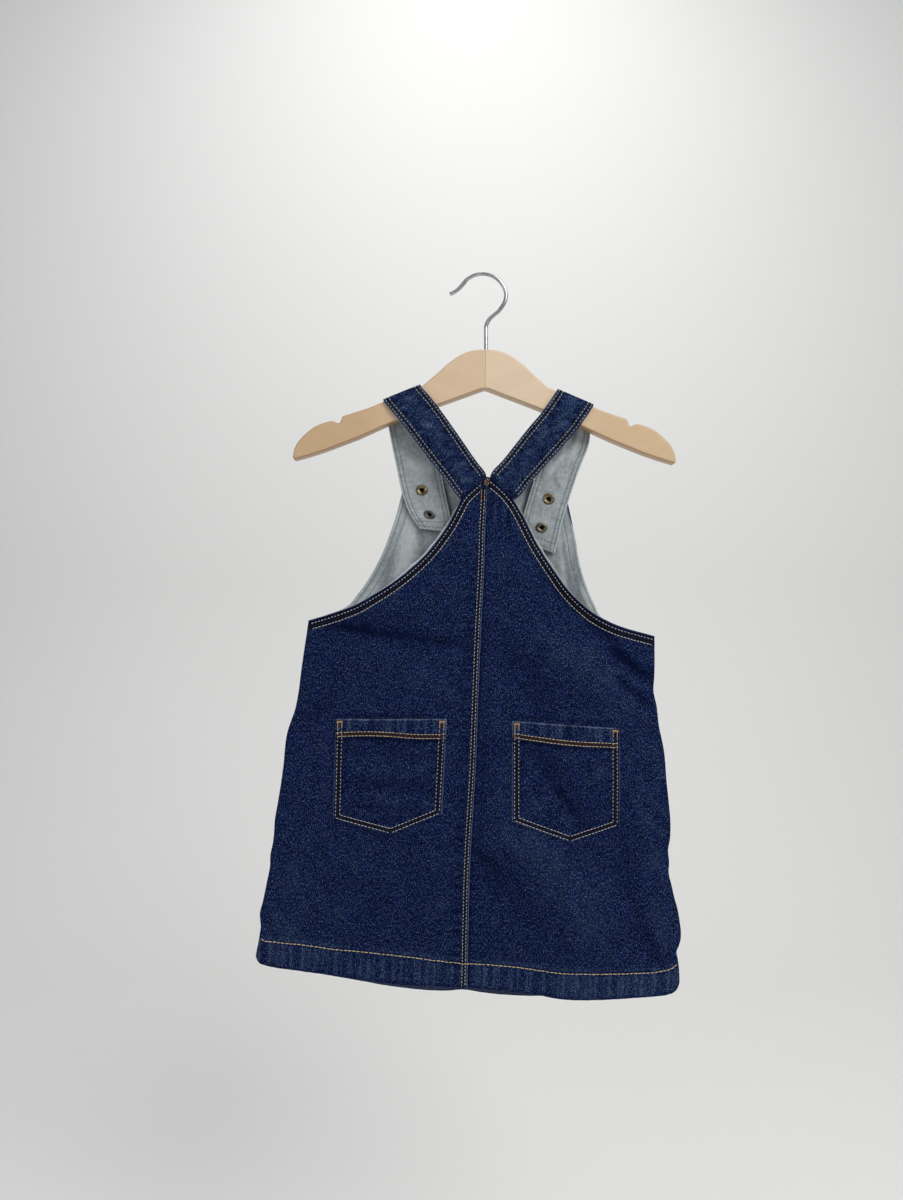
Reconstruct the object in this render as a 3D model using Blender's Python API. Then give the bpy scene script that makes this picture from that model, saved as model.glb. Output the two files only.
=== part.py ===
"""A toddler's denim pinafore dress on a flat wooden hanger.

The dress hangs by its two shoulder straps, seen here from behind: its back faces -Y
and its bib faces +Y. The origin is the inner top of the hanger's hook, where a nail or
a rail holds it; +Z is up and +X is to the right of someone who looks at the back.
Tables are in millimetres and are turned into metres where a mesh is made.

Places on the dress are given in its own upright frame: "out" is across it, positive
to the right, "down" is below the point where the straps meet, and depth is Y. The
dress hangs a little askew, so that frame is tilted about that point.
"""

import math

import bmesh
import bpy
import numpy as np

MM = 0.001

# How the dress hangs, mm and degrees
APEX_X, APEX_Z = 3.6, -158.0  # where the two straps meet at the back
TILT = math.radians(2.6)  # clockwise, seen from behind

# Cloth thicknesses and the clearance that sewn layers keep, mm
DENIM = 1.4
FACING = 1.0
STRAP_DENIM = 1.3
LAYER_GAP = 0.3
FACING_GAP = 1.0  # wider where a facing lies behind a curved panel
SIDE_GAP = 0.2  # from the dress's middle plane to each panel at a side seam
HEM_DEPTH = 21.0
HEM_WALL = 2.6
SEAM_DOWN = 117.0  # the underarm, where the side seams start

# The side seams: half-widths of the dress down each side.
SIDE = {
    "down": (0, 117, 150, 185, 205, 245, 280, 315, 340, 385, 410),
    "left": (121, 133.9, 137.4, 141.0, 146.6, 149.6, 153.6, 156.4, 161.4, 164.2, 164.5),
    "right": (121, 135.4, 136.6, 142.0, 147.0, 152.6, 155.2, 159.4, 165.4, 168.2, 169.0),
}
# The back's armhole edges, from where the straps meet to the underarm.
BACK_EDGE = {
    "down": (0, 8, 16, 26, 37, 50, 62, 74, 85, 95, 104, 111, 117),
    "left": (1.0, 10, 17.8, 22.8, 28, 36, 45, 56.8, 69.9, 84.5, 99.5, 116.5, 133.9),
    "right": (0.8, 11.6, 19.6, 26.8, 33, 40.5, 48.7, 58, 67.2, 78.4, 92, 109.5, 135.4),
}
# The bib's side edges, from its top corners to the underarm.
BIB_EDGE = {
    "down": (0, 16, 30, 46, 64, 81, 95, 105, 111, 117),
    "left": (62.7, 66.1, 69.0, 73.5, 79.7, 87.8, 96.6, 104.8, 115, 133.9),
    "right": (61.2, 65.4, 69.1, 72.9, 76.8, 82.9, 89.8, 96.4, 108, 135.4),
}
# The two hems: how far down they reach, by share of the half-width.
HEM = {
    "share": (-1, -0.95, -0.6, -0.29, 0, 0.2, 0.32, 0.45, 0.65, 0.87, 0.97, 1),
    "back": (382.5, 384.5, 390, 395.5, 395, 395.2, 396.6, 399.8, 399, 394.8, 391, 384.5),
    "front": (382, 385, 395, 402.5, 403, 403, 402.5, 402, 400.5, 395.5, 391, 384),
}
# How far each side of the flat, lens-shaped body stands off its middle plane.
BODY = {
    "down": (0, 50, 117, 200, 300, 400),
    "back": (6.4, 7.2, 8.4, 9.4, 9.0, 6.0),
    "front": (10.6, 10.6, 9.6, 9.0, 8.0, 5.6),
}
SIDE_HALF = SIDE_GAP + DENIM
BACK_ROUND, FRONT_ROUND = 2.4, 3.5  # how squarely each side turns into the side seams

# The largest folds: from and to (out, down), half-width, and height, out of the dress.
FOLD_COLUMNS = ("out_a", "down_a", "out_b", "down_b", "half", "height")
BACK_FOLDS = (
    (-134, 125, -26, 133, 7, -2.6),  # crease under the left armhole
    (-126, 113, -60, 122, 8, 1.2),
    (64, 86, 100, 119, 8, -2.6),  # long crease from the right armhole to the side
    (100, 119, 136, 147, 8, -2.8),
    (40, 112, 134, 180, 17, 2.6),
    (102, 146, 134, 162, 6, -1.4),
    (16, 158, 70, 172, 14, -1.8),
    (44, 205, 88, 262, 10, -1.8),  # across the right pocket
    (-106, 207, -34, 208, 8, -1.0),  # across the left pocket
    (-100, 240, -32, 241, 8, -1.1),
    (18, 248, 102, 356, 20, 3.4),  # broad fold down to the hem
    (8, 292, 62, 352, 14, -2.6),
    (107, 246, 140, 362, 12, -2.4),
    (122, 238, 156, 356, 11, 2.4),
    (-140, 196, -116, 214, 8, -1.6),
    (-128, 300, -136, 372, 14, 1.8),
    (-70, 318, -84, 384, 16, -1.6),
)
FRONT_FOLDS = (
    (-40, 150, -66, 380, 18, 2.6),
    (4, 60, -10, 380, 16, -2.4),
    (52, 140, 70, 385, 18, 2.4),
    (108, 190, 124, 370, 14, -2.2),
    (-104, 180, -122, 360, 14, -2.0),
    (-100, 112, -60, 140, 10, 1.8),
    (100, 112, 62, 138, 10, 1.8),
)

# Patch pockets on the back: centre of the top edge, its slope and the sides' lean in
# degrees, as the cloth has pulled them, and width.
POCKETS = {
    "pocket_left": {"out": -65.8, "down": 189.7, "slope": -3.1, "lean": 0.35, "width": 86.0},
    "pocket_right": {"out": 68.9, "down": 188.1, "slope": 1.75, "lean": 2.6, "width": 83.6},
}
# Their lengths from the top down to the left corner, the point and the right corner
POCKET_LENGTHS = {"pocket_left": (77.2, 88.9, 73.0), "pocket_right": (76.2, 90.1, 75.6)}
POCKET_POINT_AT = 0.075  # where the point is, as a share of the half-width
POCKET_TAPER = {"pocket_left": 0.977, "pocket_right": 1.007}  # width at the bottom, by the top's
POCKET_BAND, POCKET_BAND_WALL = 15.0, 2.0
POCKET_WALL, POCKET_GAP = 1.3, 0.5

# The flat-felled centre back seam: its folded edge, and the strip to the left of it.
SEAM = {"down": (0, 42, 110, 175, 283, 344, 400), "out": (0.3, 0.4, 0.7, 0.9, 0.6, 1.3, 2.7)}
PANELS_MEET = -0.6  # from the folded edge to where the two panels meet under the strip
FELL_WIDTH = 6.0
FELL_WALL, FELL_GAP = 0.9, 0.4

# Grey facings, only as deep as they show
BACK_FACING_DEPTH = 27.0
BACK_FACING_PEEP = 1.2
BIB_FACING_DOWN = 136.0
FACING_SHARE = 0.92  # the facings end before the side seams
STRAP_SEAT_FROM, STRAP_SEAT_TO = 22.0, 50.0  # the facing steps over the strap ends

# The hanger: a flat board in two glued halves, mm from the hook's origin
HANGER_X = 2.7
HANGER_TILT = math.radians(0.6)
BOARD = 12.0
BOARD_ROUND = 0.8
GLUE_GAP = 0.3
BOARD_TOP = {
    "out": (0, 11.6, 20.5, 28.3, 37.8, 48.3, 90, 110),
    "drop": (59.0, 60.3, 64.2, 69.8, 78.4, 87.6, 105.2, 111.8),
}
BOARD_TIP = {
    "out": (110, 112.8, 117.4, 124, 131, 138, 143.2, 146.6, 148.3),
    "drop": (111.8, 117.1, 115.6, 116.9, 119.9, 125.2, 130.6, 136.2, 143.6),
}
BOARD_LOW = {
    "out": (147.4, 136, 124, 98, 72, 40, 0),
    "drop": (145.6, 142.4, 138.4, 128.2, 116.2, 103.6, 88.7),
}

# The hook, bent from one wire: places along its centre line (x, z)
WIRE_RADIUS = 1.55
HOOK_RADIUS = 18.55
STEM_IN_WOOD = 12.0
STEM_CLEARANCE = 0.3
HOOK_NECK = ((2.7, -39.5), (4.2, -35.8), (14.2, -25.6), (17.6, -19.6))
HOOK_ARC_FROM, HOOK_ARC_TO = math.radians(8), math.radians(148)
HOOK_TIP = ((-19.0, -10.6), (-21.8, -12.5), (-24.8, -14.0))

# The straps. Each row is a cross-section: its centre (x, z), the slope of its width in
# degrees and its width. The near rows climb to the hanger, the far ones hang behind it.
STRAPS = {
    "left": {
        "reach": -63.9,
        "near": (
            (-4.6, -169.6, 47, 24),
            (-7.8, -165.1, 43, 27.4),
            (-15.5, -154.8, 38, 28),
            (-33, -131.3, 36.7, 29.5),
            (-50, -108.6, 30, 30.5),
        ),
        "far": (
            (-57.0, -121, 14, 31.5),
            (-51.7, -145, 12, 32),
            (-46.2, -170, 8, 32),
            (-40.8, -186, 3, 30.5),
            (-36.4, -198.3, -6, 25),
        ),
    },
    "right": {
        "reach": 69.5,
        "near": (
            (13.6, -168.6, -43, 24),
            (17.0, -164.3, -41, 27.4),
            (25.5, -154.3, -40, 27.5),
            (43, -133.6, -39.7, 29),
            (61, -112.4, -32, 30),
        ),
        "far": (
            (69.2, -124, -18, 31.5),
            (61.0, -146, -18, 31.5),
            (54.2, -167, -17, 31),
            (48.2, -187, -17, 31),
            (42.4, -211.4, -19, 31),
        ),
    },
}
STRAP_LEAVES_BOARD = -118.0  # height where the straps start to leave the board
STRAP_MEETS_DRESS = -150.0
STRAP_LAYERS = {  # how far each layer's two faces stand off what the strap lies on
    "lining": (LAYER_GAP, LAYER_GAP + FACING),
    "denim": (2 * LAYER_GAP + FACING, 2 * LAYER_GAP + FACING + STRAP_DENIM),
}
STRAP_STACK = STRAP_LAYERS["denim"][1]
STRAP_ACROSS = 5

# Snap fasteners: places of their posts (x, z), two to a strap end
SNAPS = {
    "left_upper": (-47.5, -166.5),
    "left_lower": (-41.5, -185.8),
    "right_upper": (52.3, -173.6),
    "right_lower": (46.7, -196.0),
}
RING_RADIUS, RING_HOLE, RING_HEIGHT = 4.7, 1.8, 1.2
CAP_RADIUS, CAP_HEIGHT = 6.5, 2.6

MATERIALS = {  # colour, roughness, metallic
    "denim": ((0.012, 0.025, 0.075), 0.85, 0.0),
    "strap_denim": ((0.020, 0.040, 0.095), 0.85, 0.0),
    "grey_lining": ((0.38, 0.45, 0.47), 0.9, 0.0),
    "beech": ((0.68, 0.48, 0.28), 0.5, 0.0),
    "polished_steel": ((0.62, 0.62, 0.62), 0.2, 1.0),
    "antique_brass": ((0.34, 0.25, 0.12), 0.35, 1.0),
}


def clear_scene():
    for obj in list(bpy.data.objects):
        bpy.data.objects.remove(obj, do_unlink=True)


def make_materials():
    for name, (colour, roughness, metallic) in MATERIALS.items():
        material = bpy.data.materials.new(name)
        material.use_nodes = True
        shader = material.node_tree.nodes["Principled BSDF"]
        shader.inputs["Base Color"].default_value = (*colour, 1.0)
        shader.inputs["Roughness"].default_value = roughness
        shader.inputs["Metallic"].default_value = metallic


def add_object(name, mesh, material):
    mesh.materials.append(bpy.data.materials[material])
    obj = bpy.data.objects.new(name, mesh)
    bpy.context.scene.collection.objects.link(obj)
    return obj


def smooth_table(xs, ys, x):
    """A smooth curve through a table's points, read at x (cubic, with the chords' slopes)."""
    xs, ys, x = (np.asarray(v, float) for v in (xs, ys, x))
    slopes = np.gradient(ys, xs)
    i = np.clip(np.searchsorted(xs, x, side="right") - 1, 0, len(xs) - 2)
    width = xs[i + 1] - xs[i]
    t = np.clip((x - xs[i]) / width, 0.0, 1.0)
    return (
        (2 * t**3 - 3 * t**2 + 1) * ys[i]
        + (t**3 - 2 * t**2 + t) * width * slopes[i]
        + (3 * t**2 - 2 * t**3) * ys[i + 1]
        + (t**3 - t**2) * width * slopes[i + 1]
    )


def smoothstep(low, high, x):
    t = np.clip((x - low) / (high - low), 0.0, 1.0)
    return t * t * (3 - 2 * t)


def half_width(table, share, down):
    """The half-width of a table's outline on the side that share's sign gives."""
    left = smooth_table(table["down"], table["left"], down)
    right = smooth_table(table["down"], table["right"], down)
    return np.where(np.asarray(share) < 0, left, right)


def fold_height(folds, out, down):
    """The folds' height at a place: each is a soft ridge along a line that fades at its ends."""
    total = np.zeros_like(np.asarray(out, float) + np.asarray(down, float))
    for row in folds:
        fold = dict(zip(FOLD_COLUMNS, row))
        along_out = fold["out_b"] - fold["out_a"]
        along_down = fold["down_b"] - fold["down_a"]
        length = math.hypot(along_out, along_down)
        from_out, from_down = out - fold["out_a"], down - fold["down_a"]
        along = (from_out * along_out + from_down * along_down) / length**2
        away = (from_out * along_down - from_down * along_out) / length
        ends = smoothstep(-0.18, 0.22, along) * smoothstep(1.18, 0.78, along)
        total += fold["height"] * ends * np.exp(-((away / fold["half"]) ** 2))
    return total


def depth_of(side, out, down):
    """Y of the outer face of the back (negative) or the front (positive)."""
    share = np.clip(np.abs(out) / half_width(SIDE, out, down), 0.0, 1.0)
    roundness = BACK_ROUND if side == "back" else FRONT_ROUND
    folds = BACK_FOLDS if side == "back" else FRONT_FOLDS
    stand = smooth_table(BODY["down"], BODY[side], down) * (1 - share**roundness)
    relief = fold_height(folds, out, down) * (1 - share**6)
    reach = SIDE_HALF + stand + relief
    return -reach if side == "back" else reach


def to_world(out, down, y):
    """A place in the dress's own frame, tilted as it hangs, as an array of points."""
    x = APEX_X + out * math.cos(TILT) - down * math.sin(TILT)
    z = APEX_Z - out * math.sin(TILT) - down * math.cos(TILT)
    return np.stack(np.broadcast_arrays(x, y, z), axis=-1)


def to_dress(x, z):
    """The out and down of a place given by its x and z."""
    across, below = x - APEX_X, APEX_Z - z
    return (
        across * math.cos(TILT) + below * math.sin(TILT),
        below * math.cos(TILT) - across * math.sin(TILT),
    )


def add_wall(name, outer, inner, material):
    """A closed wall between two grids of points, rows by columns, with its rim."""
    rows, columns = outer.shape[:2]
    points = np.concatenate([outer.reshape(-1, 3), inner.reshape(-1, 3)]) * MM
    size = rows * columns

    def corner(row, column, layer):
        return layer * size + row * columns + column

    faces = []
    for r in range(rows - 1):
        for c in range(columns - 1):
            # Both halves of a cell are split the same way on every layer, so layers nest.
            for half in ([(r, c), (r, c + 1), (r + 1, c + 1)], [(r, c), (r + 1, c + 1), (r + 1, c)]):
                faces.append([corner(*at, 0) for at in half])
                faces.append([corner(*at, 1) for at in reversed(half)])
    rim = [(0, c) for c in range(columns)]
    rim += [(r, columns - 1) for r in range(1, rows)]
    rim += [(rows - 1, c) for c in range(columns - 2, -1, -1)]
    rim += [(r, 0) for r in range(rows - 2, 0, -1)]
    for first, second in zip(rim, rim[1:] + rim[:1]):
        faces.append([corner(*second, 0), corner(*first, 0), corner(*first, 1), corner(*second, 1)])
    mesh = bpy.data.meshes.new(name)
    mesh.from_pydata(points.tolist(), [], faces)
    tidy = bmesh.new()
    tidy.from_mesh(mesh)
    bmesh.ops.recalc_face_normals(tidy, faces=tidy.faces)
    tidy.to_mesh(mesh)
    tidy.free()
    mesh.shade_smooth()
    mesh.set_sharp_from_angle(angle=math.radians(50))
    return add_object(name, mesh, material)


def body_rows(edge, count_above, count_below):
    """Shares 0 to 1 of a panel's height above the underarm, then 1 to 2 down to its hem."""
    above = np.linspace(0, len(edge["down"]) - 1, count_above)
    above = np.interp(above, range(len(edge["down"])), edge["down"]) / SEAM_DOWN
    return np.concatenate([above, np.linspace(1, 2, count_below)[1:]])


def panel_places(edge, hem, rows, shares):
    """Out and down of a panel's grid: a table's edge above the underarm, side seams below."""
    share, row = np.meshgrid(shares, rows)
    hem_down = smooth_table(HEM["share"], HEM[hem], share)
    down = np.where(row <= 1, row * SEAM_DOWN, SEAM_DOWN + (row - 1) * (hem_down - SEAM_DOWN))
    half = np.where(
        row <= 1, half_width(edge, share, down), half_width(SIDE, share, down)
    )
    return share * half, down, hem_down


def panel_wall(down, hem_down, y):
    """A panel's thickness: thicker in the turned hem, never past the side seam's gap."""
    wall = DENIM + (HEM_WALL - DENIM) * smoothstep(HEM_DEPTH + 3, HEM_DEPTH - 3, hem_down - down)
    return np.minimum(wall, np.abs(y) - SIDE_GAP)


def make_back(name, shares):
    rows = body_rows(BACK_EDGE, 17, 23)
    out, down, hem_down = panel_places(BACK_EDGE, "back", rows, shares)
    meet = smooth_table(SEAM["down"], SEAM["out"], down) + PANELS_MEET
    meet = meet + LAYER_GAP / 2 * np.sign(shares.sum())
    share = np.abs(np.broadcast_to(shares, out.shape))
    out = meet + share * (out / np.maximum(share, 0.01) - meet)
    out = np.where(share > 0, out, meet)
    y = depth_of("back", out, down)
    wall = panel_wall(down, hem_down, y)
    add_wall(name, to_world(out, down, y), to_world(out, down, y + wall), "denim")


def make_front():
    rows = body_rows(BIB_EDGE, len(BIB_EDGE["down"]), 17)
    shares = np.linspace(-1, 1, 21)
    out, down, hem_down = panel_places(BIB_EDGE, "front", rows, shares)
    y = depth_of("front", out, down)
    wall = panel_wall(down, hem_down, y)
    add_wall("front_panel", to_world(out, down, y), to_world(out, down, y - wall), "denim")


def make_bib_lining():
    rows = np.concatenate([np.array(BIB_EDGE["down"]), [BIB_FACING_DOWN]])
    shares = np.linspace(-1, 1, 21)
    share, down = np.meshgrid(shares, rows)
    reach = FACING_SHARE * half_width(SIDE, share, down)
    out = np.clip(share * half_width(BIB_EDGE, share, down), -reach, reach)
    outer = depth_of("front", out, down) - DENIM - FACING_GAP
    add_wall("bib_lining", to_world(out, down, outer), to_world(out, down, outer - FACING), "grey_lining")


def make_back_facing():
    """The grey facing behind the armhole edges: a band that follows both of them."""
    downs = np.array(BACK_EDGE["down"][:-1], float)
    left = -smooth_table(BACK_EDGE["down"], BACK_EDGE["left"], downs)
    right = smooth_table(BACK_EDGE["down"], BACK_EDGE["right"], downs)
    edge_out = np.concatenate([left[::-1], right])
    edge_down = np.concatenate([downs[::-1], downs])
    out, row = np.meshgrid(edge_out, np.linspace(0, 1, 4))
    top = edge_down - BACK_FACING_PEEP
    down = top + row * BACK_FACING_DEPTH
    reach = FACING_SHARE * half_width(SIDE, out, down)
    out = np.clip(out, -reach, reach)
    seat = 1 - smoothstep(STRAP_SEAT_FROM, STRAP_SEAT_TO, down)
    lift = DENIM + FACING_GAP + seat * (STRAP_STACK + LAYER_GAP)
    outer = depth_of("back", out, down) + lift
    add_wall("back_facing", to_world(out, down, outer), to_world(out, down, outer + FACING), "grey_lining")


def make_fell():
    """The flat-felled centre back seam, a strip that lies on the two back panels."""
    downs = np.linspace(2.5, smooth_table(HEM["share"], HEM["back"], 0) - 0.5, 37)
    share, down = np.meshgrid(np.linspace(-1, 0, 3), downs)
    out = smooth_table(SEAM["down"], SEAM["out"], down) + share * FELL_WIDTH
    narrow = smooth_table(BACK_EDGE["down"], BACK_EDGE["left"], down) - 0.6
    out = np.maximum(out, -narrow)
    inner = depth_of("back", out, down) - FELL_GAP
    add_wall("centre_back_seam", to_world(out, down, inner - FELL_WALL), to_world(out, down, inner), "denim")


def make_pocket(name, pocket):
    across, row = np.meshgrid(np.linspace(-1, 1, 9), np.linspace(0, 1, 10))
    below = row * np.interp(across, (-1, POCKET_POINT_AT, 1), POCKET_LENGTHS[name])
    taper = 1 + (POCKET_TAPER[name] - 1) * np.minimum(below / 75, 1)
    beside = across * taper * pocket["width"] / 2
    out = pocket["out"] + beside + below * math.tan(math.radians(pocket["lean"]))
    down = pocket["down"] + below + beside * math.tan(math.radians(pocket["slope"]))
    band = 1 - smoothstep(POCKET_BAND - 2, POCKET_BAND + 2, below)
    wall = POCKET_WALL + band * (POCKET_BAND_WALL - POCKET_WALL)
    inner = depth_of("back", out, down) - POCKET_GAP
    add_wall(name, to_world(out, down, inner - wall), to_world(out, down, inner), "denim")


def board_edge(out):
    """World (x, z) of a straight arm's top edge at a signed distance from its centre."""
    drop = np.interp(abs(out), BOARD_TOP["out"], BOARD_TOP["drop"])
    return turned_board(out, -drop)


def turned_board(out, z):
    """A place on the level hanger, turned about the origin as the hanger hangs."""
    x = HANGER_X + out
    return (
        x * math.cos(HANGER_TILT) + z * math.sin(HANGER_TILT),
        z * math.cos(HANGER_TILT) - x * math.sin(HANGER_TILT),
    )


def smooth_run(outs, drops, steps):
    """Points of a smooth curve through an outline's places, by distance along them."""
    outs, drops = np.array(outs, float), np.array(drops, float)
    along = np.concatenate([[0], np.cumsum(np.hypot(np.diff(outs), np.diff(drops)))])
    at = np.linspace(0, along[-1], steps)
    return np.stack([smooth_table(along, outs, at), smooth_table(along, drops, at)], axis=1)


def board_outline(sign):
    """The outline of one half of the hanger, in (x, z)."""
    half_gap = GLUE_GAP / 2
    top = smooth_run(BOARD_TOP["out"][:6], BOARD_TOP["drop"][:6], 15)
    arm = np.stack([BOARD_TOP["out"][6:], BOARD_TOP["drop"][6:]], axis=1)
    tip = smooth_run(BOARD_TIP["out"], BOARD_TIP["drop"], 16)[1:]
    low = np.stack([BOARD_LOW["out"], BOARD_LOW["drop"]], axis=1)
    points = np.concatenate([top, arm, tip, low])
    points[:, 0] = np.maximum(points[:, 0], half_gap)
    return [turned_board(sign * out, -drop) for out, drop in points]


def make_board(name, sign, bore):
    shape = bmesh.new()
    outline = [(x * MM, -BOARD / 2 * MM, z * MM) for x, z in board_outline(sign)]
    face = shape.faces.new([shape.verts.new(point) for point in outline])
    pushed = bmesh.ops.extrude_face_region(shape, geom=[face])["geom"]
    moved = [item for item in pushed if isinstance(item, bmesh.types.BMVert)]
    bmesh.ops.translate(shape, verts=moved, vec=(0, BOARD * MM, 0))
    bmesh.ops.recalc_face_normals(shape, faces=shape.faces)
    mesh = bpy.data.meshes.new(name)
    shape.to_mesh(mesh)
    shape.free()
    board = add_object(name, mesh, "beech")
    rounded = board.modifiers.new("rounded_edges", "BEVEL")
    rounded.width = BOARD_ROUND * MM
    rounded.segments = 2
    rounded.limit_method = "WEIGHT"
    rounded.use_clamp_overlap = False
    mark_long_edges(mesh)
    cut = board.modifiers.new("stem_bore", "BOOLEAN")
    cut.operation = "DIFFERENCE"
    cut.object = bore


def mark_long_edges(mesh):
    """Weights the board's outline edges, front and back, except along the glued joint."""
    weights = mesh.attributes.new("bevel_weight_edge", "FLOAT", "EDGE")
    joint_reach = 2.0 * MM
    for edge in mesh.edges:
        ends = [mesh.vertices[v].co for v in edge.vertices]
        level = abs(ends[0].y - ends[1].y) < MM / 10
        at_joint = all(abs(end.x - HANGER_X * MM) < joint_reach for end in ends)
        weights.data[edge.index].value = 1.0 if level and not at_joint else 0.0


def make_bore():
    """The hole for the hook's stem, a cutter that isn't part of the hanger."""
    depth = STEM_IN_WOOD + 6
    cutter = bmesh.new()
    bmesh.ops.create_cone(
        cutter,
        cap_ends=True,
        segments=16,
        radius1=(WIRE_RADIUS + STEM_CLEARANCE) * MM,
        radius2=(WIRE_RADIUS + STEM_CLEARANCE) * MM,
        depth=depth * MM,
    )
    mesh = bpy.data.meshes.new("stem_bore")
    cutter.to_mesh(mesh)
    cutter.free()
    bore = add_object("stem_bore", mesh, "beech")
    top = BOARD_TOP["drop"][0]
    bore.location = (HANGER_X * MM, 0, (-top - STEM_IN_WOOD - STEM_CLEARANCE + depth / 2) * MM)
    bore.hide_render = True
    bore.display_type = "WIRE"
    return bore


def make_hook():
    """The hook: a wire from inside the wood, bent over an arc, with a flared tip."""
    foot = (HANGER_X, -BOARD_TOP["drop"][0] - STEM_IN_WOOD)
    knee = ((HANGER_X, z) for z in np.linspace(foot[1], HOOK_NECK[0][1] - 4, 4))
    turn = np.linspace(HOOK_ARC_FROM, HOOK_ARC_TO, 9)
    centre = WIRE_RADIUS - HOOK_RADIUS
    arc = [(HOOK_RADIUS * math.cos(a), centre + HOOK_RADIUS * math.sin(a)) for a in turn]
    route = [*knee, *HOOK_NECK, *arc, *HOOK_TIP]
    places = smooth_run(*zip(*route), 64)
    curve = bpy.data.curves.new("hanger_hook", "CURVE")
    curve.dimensions = "3D"
    spline = curve.splines.new("POLY")
    spline.points.add(len(places) - 1)
    for point, (x, z) in zip(spline.points, places):
        point.co = (x * MM, 0, z * MM, 1)
    curve.bevel_depth = WIRE_RADIUS * MM
    curve.bevel_resolution = 3
    curve.use_fill_caps = True
    add_object("hanger_hook", curve, "polished_steel")


def strap_rest(x, z, side):
    """Y of what a strap lies on: the board's face, then the dress's own layers."""
    out, down = to_dress(x, z)
    if side == "near":
        board, dress = -BOARD / 2, depth_of("back", out, down) + DENIM + LAYER_GAP + STRAP_STACK
    else:
        board = BOARD / 2
        dress = depth_of("front", out, down) - DENIM - FACING_GAP - FACING - LAYER_GAP - STRAP_STACK
    share = smoothstep(STRAP_LEAVES_BOARD, STRAP_MEETS_DRESS, z)
    return board + (dress - board) * share


def strap_sections(strap):
    """The strap's cross-sections from its seat in the back, over the board, to its end.

    Each is a line of (x, y, z) rests across the strap and the way its layers face.
    """
    across = np.linspace(-0.5, 0.5, STRAP_ACROSS)
    edge_x, edge_z = board_edge(strap["reach"])
    ahead_x, ahead_z = board_edge(strap["reach"] + math.copysign(6, strap["reach"]))
    slope = math.degrees(math.atan2(ahead_z - edge_z, ahead_x - edge_x))
    slope = slope + 180 if slope < -90 else slope
    lean = math.radians(slope)
    up = np.array((-math.sin(lean), 0.0, math.cos(lean)))
    edge = np.array((edge_x, 0.0, edge_z))
    edge_width = strap["near"][-1][3] * 1.02
    half_board = BOARD / 2
    shoulder = edge - up * BOARD_ROUND

    def flat_rows(rows, first, last, side, steps):
        table = np.array([*first, *rows, *last], float)
        along = np.concatenate([[0], np.cumsum(np.hypot(*np.diff(table[:, :2], axis=0).T))])
        for at in np.linspace(0, along[-1], steps):
            x, z, turn, width = (smooth_table(along, table[:, i], at) for i in range(4))
            xs = x + across * width * math.cos(math.radians(turn))
            zs = z + across * width * math.sin(math.radians(turn))
            ys = strap_rest(xs, zs, side)
            yield np.stack([xs, ys, zs], axis=-1), np.array((0, -1.0 if side == "near" else 1.0, 0))

    at_edge = (shoulder[0], shoulder[2], slope, edge_width)
    sections = list(flat_rows(strap["near"], (), (at_edge,), "near", 12))[:-1]
    width_line = np.outer(across * edge_width, (math.cos(lean), 0, math.sin(lean)))
    round_turns = np.linspace(0, math.pi / 2, 4)
    for sign, turns in ((-1, round_turns), (1, round_turns[::-1])):
        for turn in turns:
            facing = np.array((0, sign * math.cos(turn), 0)) + up * math.sin(turn)
            corner = shoulder + np.array((0, sign * (half_board - BOARD_ROUND), 0))
            sections.append((corner + facing * BOARD_ROUND + width_line, facing))
    sections += list(flat_rows(strap["far"], (at_edge,), (), "far", 13))[1:]
    return sections


def make_strap(side, strap):
    sections = strap_sections(strap)
    layers = (("strap", "denim", "strap_denim"), ("strap_lining", "lining", "grey_lining"))
    for name, layer, material in layers:
        low, high = STRAP_LAYERS[layer]
        inner = np.array([rest + facing * low for rest, facing in sections])
        outer = np.array([rest + facing * high for rest, facing in sections])
        add_wall(f"{name}_{side}", outer, inner, material)


def turned_piece(name, profile, place, facing_y, material):
    """A round fitting turned from (radius, height) points, standing off a face along Y."""
    steps = 16
    shape = bmesh.new()
    closed = profile[0][0] > 0
    line = [shape.verts.new((radius * MM, 0, height * MM)) for radius, height in profile]
    pairs = list(zip(line, line[1:])) + ([(line[-1], line[0])] if closed else [])
    edges = [shape.edges.new(pair) for pair in pairs]
    bmesh.ops.spin(
        shape, geom=line + edges, cent=(0, 0, 0), axis=(0, 0, 1), angle=2 * math.pi, steps=steps
    )
    bmesh.ops.remove_doubles(shape, verts=shape.verts, dist=MM / 100)
    bmesh.ops.recalc_face_normals(shape, faces=shape.faces)
    mesh = bpy.data.meshes.new(name)
    shape.to_mesh(mesh)
    shape.free()
    mesh.shade_smooth()
    mesh.set_sharp_from_angle(angle=math.radians(40))
    piece = add_object(name, mesh, material)
    piece.location = [value * MM for value in place]
    piece.rotation_euler = (math.copysign(math.pi / 2, -facing_y), 0, 0)


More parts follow.
